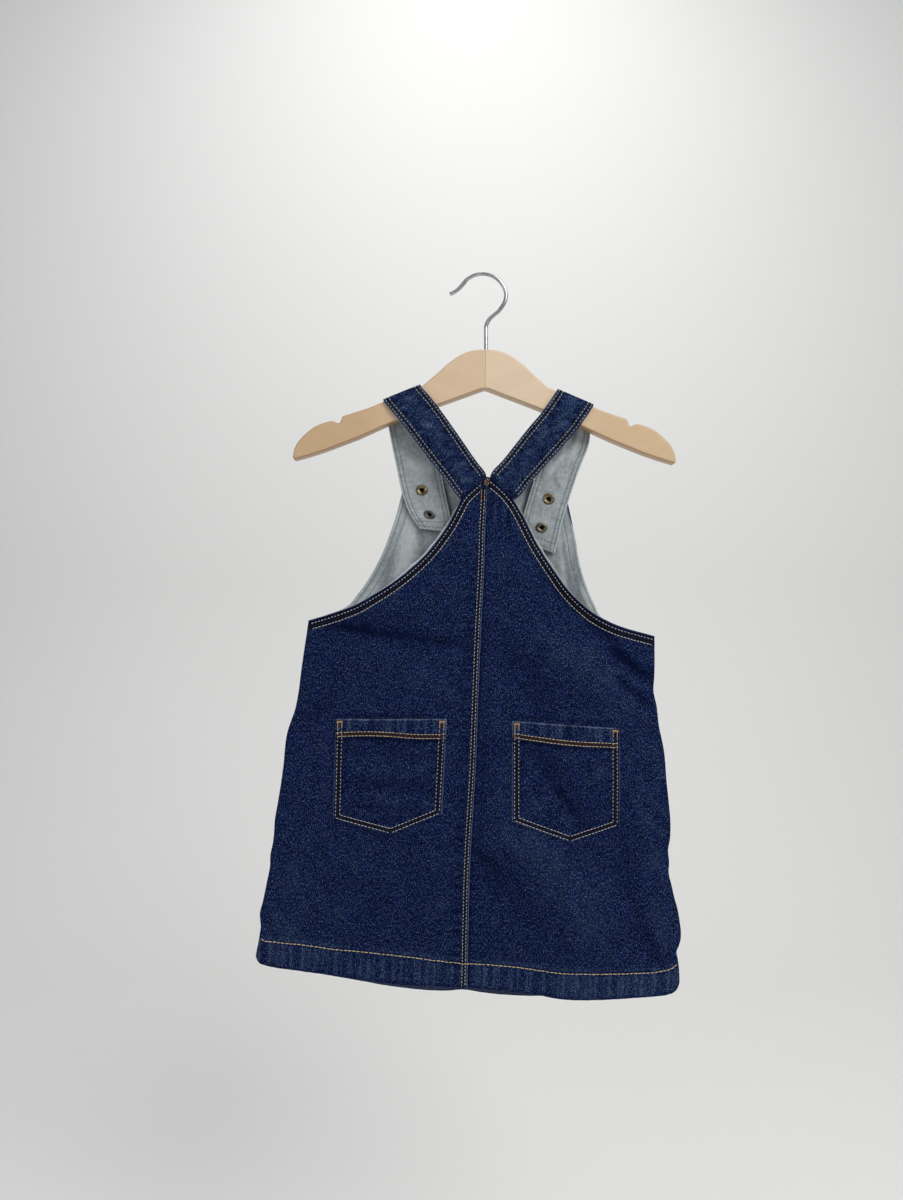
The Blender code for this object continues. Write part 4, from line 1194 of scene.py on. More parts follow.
def stitch_template():
    turns = 2 * math.pi * np.arange(STITCH_SIDES) / STITCH_SIDES
    points = [
        (place, share * math.cos(turn), share * math.sin(turn) + dip)
        for place, share, dip in STITCH_RINGS
        for turn in turns
    ]
    index = grid(len(STITCH_RINGS), STITCH_SIDES)
    caps = []
    for k in range(1, STITCH_SIDES - 1, 2):
        caps += [index[0][[0, k + 2, k + 1, k]], index[-1][[0, k, k + 1, k + 2]]]
    return np.array(points), np.concatenate([quads(index, closed=True), caps])


def stitches(name, rows, thread, seed):
    """Joined stitches along rows of (points, facing, and the row's own sizes)."""
    dice = np.random.default_rng(seed)
    template, faces = stitch_template()
    found = []
    for points, facing, own in rows:
        size = STITCH | own
        points, facing = np.broadcast_arrays(points, facing)
        along, pitch = distances(points), size["pitch"]
        count = max(1, int(along[-1] / pitch))
        starts = (np.arange(count) + size["phase"]) * along[-1] / count
        starts = starts + dice.normal(0, 0.03 * pitch, count)
        ends = starts + pitch * size["share"] * dice.uniform(0.92, 1.08, count)
        begin, end, normal = (
            np.stack([np.interp(at, along, column) for column in line.T], axis=1)
            for line, at in ((points, starts), (points, ends), (facing, starts))
        )
        length = np.linalg.norm(end - begin, axis=1)
        radius = np.full(count, size["radius"])
        table = np.column_stack([(begin + end) / 2, end - begin, normal, length, radius])
        found.append(table[length > 0.3 * pitch])
    found = np.concatenate(found)
    centres, ways, facings, lengths, radii = np.split(found, (3, 6, 9, 10), axis=1)
    ways = unit(ways)
    beside = unit(np.cross(facings, ways))
    up = np.cross(ways, beside)
    ways = ways + beside * dice.normal(0, 0.05, len(ways))[:, None]
    axes = np.stack([ways * lengths, beside * radii, up * radii], axis=1)
    count, size = len(centres), len(template)
    all_faces = faces + (np.arange(count) * size)[:, None, None]
    marks = {
        "tone": np.repeat(dice.uniform(0, 1, count), size),
        "place": np.tile(template[:, 0] + 0.5, count),
    }
    points = centres[:, None] + template @ axes
    finish_piece(mesh_object(name, points, all_faces.reshape(-1, 4).tolist(), thread, marks))


def on_back(out, down, lift=0.12):
    """Points just off the back's finished face."""
    return to_world(out, down, face_of("back", out, down) - lift)


def inset_line(line, distance, first, last, spread=None):
    """Places at a distance inside a sewn edge, or at that times a spread along it."""
    along = np.arange(first, line.length - last, 1.2)
    places = line.at(along)
    tangent = unit(np.gradient(places, axis=0))
    sign = 1 if places[-1, 0] > places[0, 0] else -1
    normal = np.stack([-tangent[:, 1], tangent[:, 0]], axis=1) * sign
    return (places + normal * (distance * (spread(along)[:, None] if spread else 1))).T


def sew_armholes(thread):
    """Two rows along each of the back's armholes."""
    rows = []
    for line in ARMHOLES.values():
        for i, distance in enumerate(ARMHOLE_ROWS):
            out, down = inset_line(line, distance, 4.5 + 2 * i, 0.6, armhole_spread)
            own = {"share": (0.62, 0.86)[i], "phase": 0.2 + 0.3 * i}
            rows.append((on_back(out, down), TO_BACK, own))
    stitches("stitches_armholes", rows, thread, 101)


def sew_centre(thread, bar_thread):
    """Two rows along the felled seam, and the tacks where the straps meet."""
    rows, tacks = [], []
    last = smooth_table(HEM["share"], HEM["back"], 0) - 1
    for i, away in enumerate(FELL_ROWS):
        down = np.arange(17, last, 1.2)
        points = on_back(seam_out(down) - away, down, FELL_WALL + 0.02)
        rows.append((points, TO_BACK, {"share": 0.62, "phase": 0.1 + 0.4 * i, "radius": 0.24}))
        down = np.arange(10, 19, 0.8)
        points = on_back(seam_out(down) - away, down, FELL_WALL + 0.1)
        tacks.append((points, TO_BACK, {"pitch": 2.2, "radius": 0.3}))
    stitches("stitches_centre", rows, thread, 102)
    for beside in (-1.6, -0.3, 1.0):
        down = np.arange(0.6 + abs(beside), 8.0 - abs(beside), 0.7)
        points = on_back(beside + 0.4 * np.sin(down), down, FELL_WALL + 0.1)
        tacks.append((points, TO_BACK, {"pitch": 2.2, "share": 0.85, "radius": 0.3}))
    stitches("bar_tacks_apex", tacks, bar_thread, 103)


def sew_hems(thread):
    """A row above each hem; the back's passes over the felled seam."""
    rows = []
    shares = np.linspace(-0.992, 0.992, 280)
    for side, way in WAY.items():
        rough = smooth_table(HEM["share"], HEM[side], shares) - HEM_DEPTH
        out = shares * half_width(SIDE, shares, rough)
        down = hem_read(side, out, rough) - hem_read("depth", out, rough)
        points = to_world(out, down, face_of(side, out, down) + way * 0.1)
        if side == "back":
            from_fell = np.abs(out - seam_out(down) + FELL_WIDTH / 2)
            on_fell = smoothstep(FELL_WIDTH / 2 + 1, FELL_WIDTH / 2 - 1, from_fell)
            points[:, 1] -= FELL_WALL * on_fell
        own = {"share": 0.97, "radius": 0.36, "pitch": 3.3}
        rows.append((points, (0.0, way, 0.0), own))
    stitches("stitches_hems", rows, thread, 104)


def pocket_points(pocket, beside, below, lift=0.1):
    """Points just off a pocket's face."""
    rise, _, _ = pocket_rise(pocket, beside, below)
    return on_back(*pocket_place(pocket, beside, below), 0.05 + rise + lift)


def satin_bar(points, width):
    """A bar tack: short threads side by side across a line, each a row of its own."""
    run = points[-1] - points[0]
    length = np.linalg.norm(run)
    half = np.cross(TO_BACK, run / length) * width / 2
    threads = []
    for at in np.arange(0.2, length, 0.42):
        middle = points[0] + run / length * at
        middle[1] = np.interp(at, np.linspace(0, length, len(points)), points[:, 1])
        own = {"pitch": width, "share": 1.0, "phase": 0.0, "radius": 0.26}
        threads.append((np.array([middle - half, middle + half]), TO_BACK, own))
    return threads


def sew_pocket(name, pocket, threads):
    """Two rows round a pocket's sides and point, two along its band, and its corner tacks."""
    sides, hems, tacks = [], [], []
    low_half, seed = pocket_half(pocket, 75), pocket["seed"]
    tip = POCKET_POINT_AT * low_half
    left, point, right = pocket["lengths"]
    for i, distance in enumerate(POCKET_ROWS):
        inset = distance + POCKET_SIDE_MORE
        for sign, corner in ((-1, left), (1, right)):
            drop = (point - corner) / (low_half - sign * tip)
            lift = distance * math.hypot(1, drop)
            low = corner + drop * inset - lift
            below = np.arange(4.0, low, 1.2)
            points = pocket_points(pocket, sign * (pocket_half(pocket, below) - inset), below)
            own = {"pitch": 2.9, "share": 0.6, "phase": 0.1 + 0.35 * i, "radius": 0.24}
            sides.append((points, TO_BACK, own))
            across = np.arange(pocket_half(pocket, low) - inset, sign * tip, -1.2)
            below = point - (across - sign * tip) * drop - lift
            points = pocket_points(pocket, sign * across, below)
            sides.append((points, TO_BACK, {"share": 0.9, "phase": 0.1, "radius": 0.25}))
    stitches(f"stitches_{name}", sides, threads["cream"], seed + 10)
    for i, row in enumerate(POCKET_HEM_ROWS):
        reach = pocket_half(pocket, row) - 0.6
        beside = np.arange(-reach, reach, 1.2)
        below = row + smooth_table(*pocket["sag"], beside / pocket_half(pocket, 0))
        own = {"share": 0.94, "phase": 0.1 + 0.4 * i, "radius": 0.3}
        hems.append((pocket_points(pocket, beside, below), TO_BACK, own))
    stitches(f"stitches_{name}_hem", hems, threads["golden"], seed + 12)
    far, near = (pocket["width"] / 2 - (row + POCKET_SIDE_MORE) for row in POCKET_ROWS)
    bars = (
        (np.linspace(near - 0.6, far + 0.6, 12), np.full(12, 1.9), 1.6),
        (np.full(10, near), np.linspace(2.4, 7.0, 10), 0.9),
        (np.full(10, far), np.linspace(2.4, 7.0, 10), 0.9),
    )
    for sign in (-1, 1):
        for across, below, width in bars:
            tacks += satin_bar(pocket_points(pocket, sign * across, below, 0.25), width)
    stitches(f"bar_tacks_{name}", tacks, threads["orange"], seed + 11)


def sew_strap(side, path, threads):
    """Two rows along each edge and across the end of a strap, on its denim and its lining."""
    for layer, colour, way, start in (("denim", "olive", 1, 6.0), ("lining", "grey", -1, 90.0)):
        low, high = STRAP_LAYERS[layer]
        along = np.arange(start, path.length - 2, 1.3)
        lines = []
        for sign in (-1, 1):
            for i, distance in enumerate(STRAP_ROWS):
                own = {"share": (0.62, 0.72)[i], "phase": 0.1 + 0.4 * i, "radius": 0.3}
                lines.append((along, sign * (0.5 - distance / path.widths(along)), own))
        for distance in STRAP_END_ROWS:
            at_end = np.full(24, path.length - distance)
            lines.append((at_end, np.linspace(-0.42, 0.42, 24), {"radius": 0.3}))
        rows = []
        for at, share, own in lines:
            relief = strap_relief(side, path, layer, at, share * path.widths(at))
            height = (low + high) / 2 + relief + way * ((high - low) / 2 - 0.05)
            points, facing = path.places(at[:, None], share[:, None], height[:, None])
            rows.append((points[:, 0], facing[:, 0] * way, own))
        word = "strap" if layer == "denim" else "strap_lining"
        stitches(f"stitches_{word}_{side}", rows, threads[colour], 130 + way)


def sew_bib(threads):
    """Two rows along the bib's edges, on the denim and on its grey facing."""
    outside, inside = [], []
    for i, distance in enumerate(BIB_ROWS):
        out, down = inset_line(BIB, distance, 1 + distance, 1 + distance)
        points = to_world(out, down, face_of("front", out, down) + 0.1)
        outside.append((points, TO_FRONT, {"phase": 0.1 + 0.3 * i}))
        visible = np.abs(out) < 0.9 * half_width(SIDE, out, down)
        base, rise = bib_facing_depths(out, down)
        points = to_world(out, down, base - rise - 0.1)[visible]
        inside.append((points, TO_BACK, {"radius": 0.32}))
    stitches("stitches_bib", outside, threads["cream"], 141)
    stitches("stitches_bib_facing", inside, threads["grey"], 142)


# ------------------------------------------------------------------- hanger, hook, snaps

BOARD_JOINT = 0.06  # half the glue line between the hanger's two halves
BOARD_EDGE, JOINT_EDGE = 1.3, 0.3  # how round the board's edges are, outside and at the joint
BOARD_TURNS = np.radians((90, 75, 55, 35, 15, 0))
HOOK_SIDES, SNAP_SIDES = 20, 48

# The section of each snap's ring, as (radius, height)
RING_PROFILE = (
    (RING_HOLE * 0.05, 0.35), (RING_HOLE * 0.05, -0.8), (RING_RADIUS * 0.6, -0.8),
    (RING_RADIUS * 0.97, -0.5), (RING_RADIUS, RING_HEIGHT * 0.25),
    (RING_RADIUS * 0.97, RING_HEIGHT * 0.55), (RING_RADIUS * 0.88, RING_HEIGHT * 0.86),
    (RING_RADIUS * 0.76, RING_HEIGHT), (RING_RADIUS * 0.64, RING_HEIGHT * 0.94),
    (RING_RADIUS * 0.54, RING_HEIGHT * 0.74), (RING_HOLE * 1.25, RING_HEIGHT * 0.5),
    (RING_HOLE, 0.4), (RING_HOLE * 0.9, 0.36),
)
# How much each ring is pressed oval, the turn of that, and how tarnished it is
RING_PRESSED = {
    "left_upper": (0.88, 0.0, 0.1), "left_lower": (0.66, 0.35, 0.8),
    "right_upper": (0.97, 0.0, 0.0), "right_lower": (0.82, 0.2, 0.5),
}


def smooth_run(places, steps):
    """A smooth line through places, as that many even steps."""
    places = np.array(places, float)
    along = distances(places)
    at = np.linspace(0, along[-1], steps)
    return np.stack([smooth_table(along, column, at) for column in places.T], axis=1)


def evenly(points, step):
    """A line's places again, no further apart than a step."""
    found = [points[0]]
    for a, b in zip(points, points[1:]):
        pieces = max(1, math.ceil(math.dist(a, b) / step))
        found += [a + (b - a) * k / pieces for k in range(1, pieces + 1)]
    return np.array(found)


def make_board(sign, wood):
    """One glued half of the hanger: a thick board with rounded edges."""
    top, tip, low = (np.column_stack([line["out"], line["drop"]])
                     for line in (BOARD_TOP, BOARD_TIP, BOARD_LOW))
    parts = [smooth_run(top[:6], 46), top[6:], smooth_run(tip, 60)[1:], low]
    outline = evenly(np.concatenate(parts), 3.0)
    outline[:, 0] = np.maximum(outline[:, 0], BOARD_JOINT)
    outline = np.concatenate([outline, np.linspace(outline[-1], outline[0], 12)[1:-1]])
    at_joint = outline[:, 0] <= BOARD_JOINT + 0.01
    radius = np.where(at_joint, JOINT_EDGE, BOARD_EDGE)
    way = unit(outline - np.roll(outline, 1, axis=0))
    way = way + unit(np.roll(outline, -1, axis=0) - outline)
    inward = np.stack([-way[:, 1], way[:, 0]], axis=1)
    inward = inward / np.maximum((inward**2).sum(axis=1) / 2, 0.5)[:, None]
    points, edges = [], []
    rings = [(-1, turn) for turn in BOARD_TURNS] + [(1, turn) for turn in BOARD_TURNS[::-1]]
    for face, turn in rings:
        away = 1 - math.cos(turn)
        moved = outline + inward * (away * radius)[:, None]
        x, z = turned_board(sign * moved[:, 0], -moved[:, 1])
        y = face * (BOARD / 2 - radius + radius * math.sin(turn))
        points.append(np.stack([x, y, z], axis=1))
        edges.append(np.where(at_joint, BOARD_EDGE, BOARD_EDGE * away))
    faces = [face[::sign] for face in tube_faces(len(rings), len(outline))]
    word = WORD[sign]
    piece = mesh_object(f"hanger_{word}_board", np.array(points), faces, wood, {"edge": edges})
    for face in piece.data.polygons[-2:]:
        face.use_smooth = False
    finish_piece(piece, [f"hanger_{word}"])


def make_hook(steel):
    """The hook: one bent wire, drawn a little thicker at its cut end."""
    stem = np.linspace(-BOARD_TOP["drop"][0] - 4, HOOK_NECK[0][1] - 4, 4)
    turns = np.linspace(HOOK_ARC_FROM, HOOK_ARC_TO, 9)
    centre = WIRE_RADIUS - HOOK_RADIUS
    arc = [(HOOK_RADIUS * math.cos(a), centre + HOOK_RADIUS * math.sin(a)) for a in turns]
    places = smooth_run([*((HANGER_X, z) for z in stem), *HOOK_NECK, *arc, *HOOK_TIP], 220)
    tangent = unit(np.gradient(places, axis=0))
    radius = WIRE_RADIUS * (1 + 0.06 * smoothstep(0.95, 0.99, np.linspace(0, 1, len(places))))
    # Rings: the number of a place on the wire, how far beyond it, and the share of its radius
    last = len(places) - 1
    rings = [(0, 0.0, 0.02), *((i, 0.0, 1.0) for i in range(last + 1))]
    rings += [(last, 0.25, 0.93), (last, 0.45, 0.75), (last, 0.5, 0.02)]
    at, beyond, share = np.array(rings).T[..., None]
    at = at[:, 0].astype(int)
    middle = places[at] + tangent[at] * beyond * WIRE_RADIUS
    size = radius[at][:, None] * share
    around = 2 * math.pi * np.arange(HOOK_SIDES) / HOOK_SIDES
    beside = np.cos(around) * size
    x = middle[:, :1] - tangent[at, 1:] * beside
    z = middle[:, 1:] + tangent[at, :1] * beside
    points = np.stack([x, np.sin(around) * size, z], axis=-1)
    piece = mesh_object("hook_wire", points, tube_faces(len(rings), HOOK_SIDES), steel)
    finish_piece(piece, ["hanger_hook"])


def turned_part(name, profile, place, facing, material, pressed=None):
    """A round fitting turned from (radius, height) points, standing off along facing."""
    oval, turn, tarnish = pressed or (1.0, 0.0, 0.0)
    reach, height = np.array(profile, float).T
    turns = 2 * math.pi * np.arange(SNAP_SIDES) / SNAP_SIDES
    x, z = np.outer(reach, np.cos(turns)), oval * np.outer(reach, np.sin(turns))
    x, z = (
        x * math.cos(turn) + z * math.sin(turn),
        z * math.cos(turn) - x * math.sin(turn),
    )
    y = np.broadcast_to(facing * height[:, None], x.shape)
    points = np.stack([x, y, z], axis=-1).reshape(-1, 3)
    index = grid(len(profile), SNAP_SIDES)
    faces = quads(np.concatenate([index, index[:1]]), closed=True)
    if inside_out(points, faces):
        faces = faces[:, ::-1]
    # a pressed ring's tarnish, and 1 at its middle opening, where shade is painted
    tarnish_and_shade = np.repeat(np.where(reach < 1.05 * RING_HOLE, 1.0, 0.8 * tarnish), SNAP_SIDES)
    marks = {"tarnish_and_shade": tarnish_and_shade} if pressed else None
    piece = mesh_object(name, points + np.array(place), faces.tolist(), material, marks)
    finish_piece(piece, [f"snap_{name}"])


def make_snaps(brass):
    """Each snap's ring on the strap's lining, and its plain cap on the bib's outside."""
    cap = [(0.4, 0.0), (CAP_RADIUS * 0.96, 0.0)]
    for turn in np.linspace(0, math.pi / 2, 9):
        reach = CAP_RADIUS * (0.82 + 0.18 * math.cos(turn))
        cap.append((reach, CAP_HEIGHT * (0.3 + 0.4 * math.sin(turn))))
    for share in np.linspace(0.75, 0.04, 8):
        cap.append((CAP_RADIUS * share, CAP_HEIGHT * (0.7 + 0.3 * (1 - (share / 0.82) ** 2))))
    for name, (x, z) in SNAPS.items():
        inside = float(strap_rest(x, z, "far")) + 0.25
        outside = float(depth_of("front", *to_dress(x, z), False)) + LAYER_GAP
        pressed = RING_PRESSED[name]
        turned_part(f"ring_{name}", RING_PROFILE, (x, inside, z), -1, brass, pressed)
        turned_part(f"cap_{name}", cap, (x, outside, z), 1, brass)


# --------------------------------------------------------------------------- materials


class Shader:
    """A small helper that builds one material's nodes."""

    def __init__(self, name):
        self.material = bpy.data.materials.new(name)
        self.material.use_nodes = True
        self.tree = self.material.node_tree
        self.surface = self.tree.nodes["Principled BSDF"]

    def add(self, kind, inputs=None, **settings):
        node = self.tree.nodes.new(f"ShaderNode{kind}")
        for key, value in settings.items():
            setattr(node, key, value)
        for key, value in (inputs or {}).items():
            self.feed(node.inputs[key], value)
        return node

    def feed(self, socket, value):
        if isinstance(value, bpy.types.NodeSocket):
            self.tree.links.new(value, socket)
        elif isinstance(value, tuple) and len(value) == 3 and socket.type == "RGBA":
            socket.default_value = (*value, 1.0)
        else:
            socket.default_value = value

    def finish(self, **inputs):
        for key, value in inputs.items():
            self.feed(self.surface.inputs[key.replace("_", " ")], value)
        return self.material

    def marks(self, *names):
        found = [self.add("Attribute", attribute_name=name).outputs["Fac"] for name in names]
        return found if len(found) > 1 else found[0]

    def cloth_place(self):
        return self.add("UVMap", uv_map="cloth").outputs["UV"]

    def scaled(self, vector, scale, turn=0.0):
        inputs = {"Vector": vector, "Scale": scale, "Rotation": (0.0, 0.0, turn)}
        return self.add("Mapping", inputs).outputs["Vector"]

    def noise(self, vector, sizes, detail=3.0, roughness=0.5, distortion=0.0):
        """Noise whose blotches have those sizes, in the vector's own unit."""
        across, along, deep = (*sizes, 1.0)[:3]
        inputs = {"Vector": self.scaled(vector, (1 / across, 1 / along, 1 / deep)), "Scale": 1.0,
                  "Detail": detail, "Roughness": roughness, "Distortion": distortion}
        return self.add("TexNoise", inputs).outputs["Fac"]

    def span(self, value, low, high, to_low=0.0, to_high=1.0, kind="SMOOTHSTEP"):
        inputs = {"Value": value, "From Min": low, "From Max": high, "To Min": to_low,
                  "To Max": to_high}
        return self.add("MapRange", inputs, interpolation_type=kind).outputs["Result"]

    def maths(self, operation, a, b=0.0):
        node = self.add("Math", operation=operation)
        self.feed(node.inputs[0], a)
        self.feed(node.inputs[1], b)
        return node.outputs[0]

    def times(self, a, b):
        return self.maths("MULTIPLY", a, b)

    def plus(self, a, b):
        return self.maths("ADD", a, b)

    def mix(self, share, a, b, blend="MIX"):
        node = self.add("Mix", data_type="RGBA", blend_type=blend)
        for socket, value in zip((0, 6, 7), (share, a, b)):
            self.feed(node.inputs[socket], value)
        return node.outputs[2]

    def layers(self, base, *rows):
        """Colours over a base, each in the share that a value's span says."""
        for colour, *span in rows:
            base = self.mix(self.span(*span), base, colour)
        return base

    def bump(self, height, distance, strength):
        inputs = {"Height": height, "Distance": distance, "Strength": strength}
        return self.add("Bump", inputs).outputs["Normal"]


def denim_material(name, dark, mid, pale, speckle, between):
    """Indigo twill: cloudy, flecked with short pale threads, worn pale along its edges. Its shade
    mark paints shade where it is negative, and wear with painted highlight where it is positive.
    """
    shade = Shader(name)
    flat = shade.cloth_place()
    wear_and_shade, edge, band, reverse = shade.marks("wear_and_shade", "edge", "band", "reverse")

    clouds = shade.noise(flat, (7, 12), 3, 0.55)
    streaks = shade.noise(flat, (1.6, 34), 2)
    flecks = shade.noise(flat, (0.62, 2.0), 2)
    fine_streaks = shade.noise(flat, (0.7, 6.5), 1)
    grain = shade.noise(flat, (0.45, 0.8), 1)
    patches = shade.noise(flat, (5, 7), 3, 0.6)

    tone = shade.plus(
        shade.span(clouds, 0.33, 0.67, 0.0, 0.75), shade.span(streaks, 0.3, 0.7, -0.15, 0.25)
    )
    base = shade.mix(tone, dark, mid)
    # painted shade: a negative mark darkens the cloth
    hollow = tuple(0.3 * c for c in dark)
    base = shade.layers(base, (hollow, wear_and_shade, 0.0, -1.0, 0.0, 0.85, "LINEAR"))
    # wear and painted highlight: a positive mark makes the cloth paler
    worn = shade.times(
        shade.span(wear_and_shade, 0.0, 1.0, 0.0, 1.0, "LINEAR"), shade.span(patches, 0.25, 0.7, 0.6, 1.4)
    )
    base = shade.mix(worn, base, pale)

    base = shade.layers(base, (mid, fine_streaks, 0.45, 0.7, 0.0, 0.9))
    # fewer pale flecks where shade is painted
    often = shade.span(wear_and_shade, -1.0, 0.6, 0.1, 1.0, "LINEAR")
    fleck = shade.times(shade.span(flecks, 0.525, 0.68, 0.0, speckle), often)
    base = shade.mix(fleck, base, (0.058, 0.115, 0.29))
    points = shade.noise(flat, (0.6, 0.85), 0)
    point = shade.times(shade.span(points, 0.67, 0.8, 0.0, 0.9), often)
    base = shade.mix(point, base, (0.27, 0.34, 0.50))
    base = shade.layers(base, ((0.0006, 0.0026, 0.013), grain, 0.35, 0.7, 0.0, 0.5))

    inside = shade.times(shade.span(band, -0.1, 0.1), shade.span(band, 1.08, 0.9))
    inside = shade.times(inside, shade.span(grain, 0.35, 0.7, between, 0.75 * between))
    sewn = shade.mix(shade.marks("brown"), (0.0070, 0.0050, 0.0062), (0.026, 0.013, 0.007))
    base = shade.mix(inside, base, sewn)
    lip = shade.times(shade.span(edge, 0.9, 0.2), shade.span(flecks, 0.35, 0.62, 0.25, 1.0))
    lip = shade.times(lip, shade.span(wear_and_shade, 0.0, 0.9, 0.28, 0.85))
    base = shade.mix(lip, base, (0.16, 0.20, 0.28))
    base = shade.mix(shade.times(reverse, 0.3), base, (0.10, 0.13, 0.20))

    twill = shade.add(
        "TexWave",
        {"Vector": shade.scaled(flat, (1.0, 1.0, 1.0), 0.35), "Scale": 0.36, "Distortion": 1.2,
         "Detail": 1.0, "Detail Scale": 1.5},
        wave_type="BANDS",
        bands_direction="DIAGONAL",
    ).outputs["Fac"]
    height = shade.maths("MULTIPLY_ADD", twill, 0.5)
    height = shade.plus(height, shade.times(grain, 0.5))
    height = shade.plus(height, shade.times(flecks, 0.6))
    return shade.finish(
        Base_Color=base,
        Roughness=shade.span(flecks, 0.3, 0.7, 0.92, 0.78),
        Normal=shade.bump(height, 0.00022, 0.7),
        Specular_IOR_Level=0.03,
        Sheen_Weight=0.03,
        Sheen_Roughness=0.4,
        Sheen_Tint=(0.35, 0.45, 0.8),
    )


def lining_material():
    """Grey cotton: a fine plain weave, a little slubby, darker in its pressed seams, with painted
    shade and highlight by its creases.
    """
    shade = Shader("grey_cotton")
    flat = shade.cloth_place()
    edge, band, wear_and_shade = shade.marks("edge", "band", "wear_and_shade")
    clouds = shade.noise(flat, (14, 22), 4, 0.6)
    mottle = shade.noise(flat, (2.6, 3.6), 3, 0.65)
    upright = shade.noise(flat, (0.7, 16), 2)
    level = shade.noise(flat, (16, 0.7), 2)
    weave = shade.noise(flat, (0.5, 0.5), 1)
    threads = shade.plus(upright, level)
    slubs = shade.noise(flat, (1.1, 1.6), 2, 0.6)
    base = shade.mix(shade.span(clouds, 0.3, 0.7), (0.27, 0.312, 0.322), (0.415, 0.456, 0.466))
    base = shade.layers(
        base,
        ((0.17, 0.20, 0.22), mottle, 0.35, 0.6, 0.5, 0.0),
        ((0.50, 0.54, 0.55), mottle, 0.52, 0.7, 0.0, 0.55),
        ((0.43, 0.46, 0.46), threads, 0.8, 1.25, 0.0, 0.45),
        ((0.12, 0.14, 0.15), slubs, 0.4, 0.28, 0.0, 0.45),
        ((0.55, 0.58, 0.58), slubs, 0.6, 0.75, 0.0, 0.4),
        ((0.13, 0.15, 0.17), weave, 0.35, 0.7, 0.4, 0.0),
        # painted shade where the mark is negative, and painted highlight where it is positive
        ((0.065, 0.08, 0.11), wear_and_shade, 0.0, -1.0, 0.0, 0.6, "LINEAR"),
        ((0.56, 0.60, 0.61), wear_and_shade, 0.0, 0.6, 0.0, 0.5, "LINEAR"),
    )
    sewn = shade.span(shade.maths("PINGPONG", band, 0.5), 0.16, 0.02, 0.0, 0.6)
    near = shade.times(shade.span(band, -0.4, -0.2), shade.span(band, 1.4, 1.2))
    base = shade.mix(shade.times(sewn, near), base, (0.07, 0.085, 0.10))
    turned = shade.plus(
        shade.span(edge, 1.4, 0.4, 0.0, 0.3), shade.span(edge, 0.1, -0.5, 0.0, 0.7)
    )
    base = shade.mix(turned, base, (0.58, 0.62, 0.66))
    height = shade.plus(threads, shade.times(weave, 0.8))
    return shade.finish(
        Base_Color=base,
        Roughness=shade.span(weave, 0.3, 0.7, 0.93, 0.82),
        Normal=shade.bump(height, 0.00015, 0.6),
        Specular_IOR_Level=0.2,
        Sheen_Weight=0.12,
        Sheen_Roughness=0.5,
    )


def thread_material(name, pale, deep):
    """Sewing thread: two-ply twist across each stitch, its tone a little uneven, with painted shade
    at each stitch's ends.
    """
    shade = Shader(name)
    place, tone = shade.marks("place", "tone")
    plies = shade.maths("SINE", shade.times(place, 26.0))
    share = shade.plus(shade.times(tone, 0.6), shade.times(plies, 0.18))
    # painted shade where each stitch dips into the cloth
    ends = shade.maths("ABSOLUTE", shade.maths("SUBTRACT", place, 0.5))
    base = shade.mix(share, pale, deep)
    return shade.finish(
        Base_Color=shade.layers(base, ((0.02, 0.015, 0.012), ends, 0.3, 0.5, 0.0, 0.7)),
        Roughness=shade.span(tone, 0.0, 1.0, 0.45, 0.6),
        Normal=shade.bump(plies, 0.00008, 0.8),
        Sheen_Weight=0.2,
    )


def wood_material(name, turn, pale, deep):
    """Waxed beech: fine grain along the arm, short dark flecks and a soft sheen, darker towards
    the arms' outer ends, with painted shade along its rounded edges.
    """
    shade = Shader(name)
    place = shade.add("TexCoord").outputs["Object"]
    turned = shade.add("Mapping", {"Vector": place, "Rotation": (0.0, turn, 0.0)}).outputs["Vector"]
    millimetres = shade.scaled(turned, (1 / MM, 1 / MM, 1 / MM))
    broad = shade.noise(millimetres, (90, 9, 9), 3, 0.5, 0.4)
    grain = shade.noise(millimetres, (26, 0.9, 0.9), 3, 0.6, 0.2)
    flecks = shade.noise(millimetres, (3.2, 0.4, 0.4), 1)
    across = shade.add("SeparateXYZ", {"Vector": place}).outputs["X"]
    # darker towards the arms' outer ends
    outer = shade.span(shade.maths("ABSOLUTE", across), 0.045, 0.10)
    base = shade.layers(deep, (pale, broad, 0.3, 0.7, 0.34, 0.7))
    base = shade.mix(outer, base, (0.84, 0.76, 0.64), "MULTIPLY")
    # painted shade along the board's rounded edges
    rounded = shade.span(shade.marks("edge"), 1.15, 0.5, 0.0, 0.75)
    base = shade.mix(rounded, base, (0.66, 0.52, 0.38), "MULTIPLY")
    base = shade.layers(
        base,
        (tuple(0.7 * c for c in deep), grain, 0.45, 0.75, 0.0, 0.13),
        ((0.25, 0.13, 0.06), flecks, 0.64, 0.78, 0.0, 0.45),
    )
    specks = shade.noise(millimetres, (1.7, 1.2, 1.2), 1)
    return shade.finish(
        Base_Color=shade.layers(base, ((0.16, 0.07, 0.03), specks, 0.76, 0.82, 0.0, 0.6)),
        Roughness=shade.span(grain, 0.3, 0.7, 0.36, 0.5),
        Normal=shade.bump(shade.maths("SUBTRACT", grain, flecks), 0.00012, 0.5),
        Coat_Weight=0.25,
        Coat_Roughness=0.3,
    )


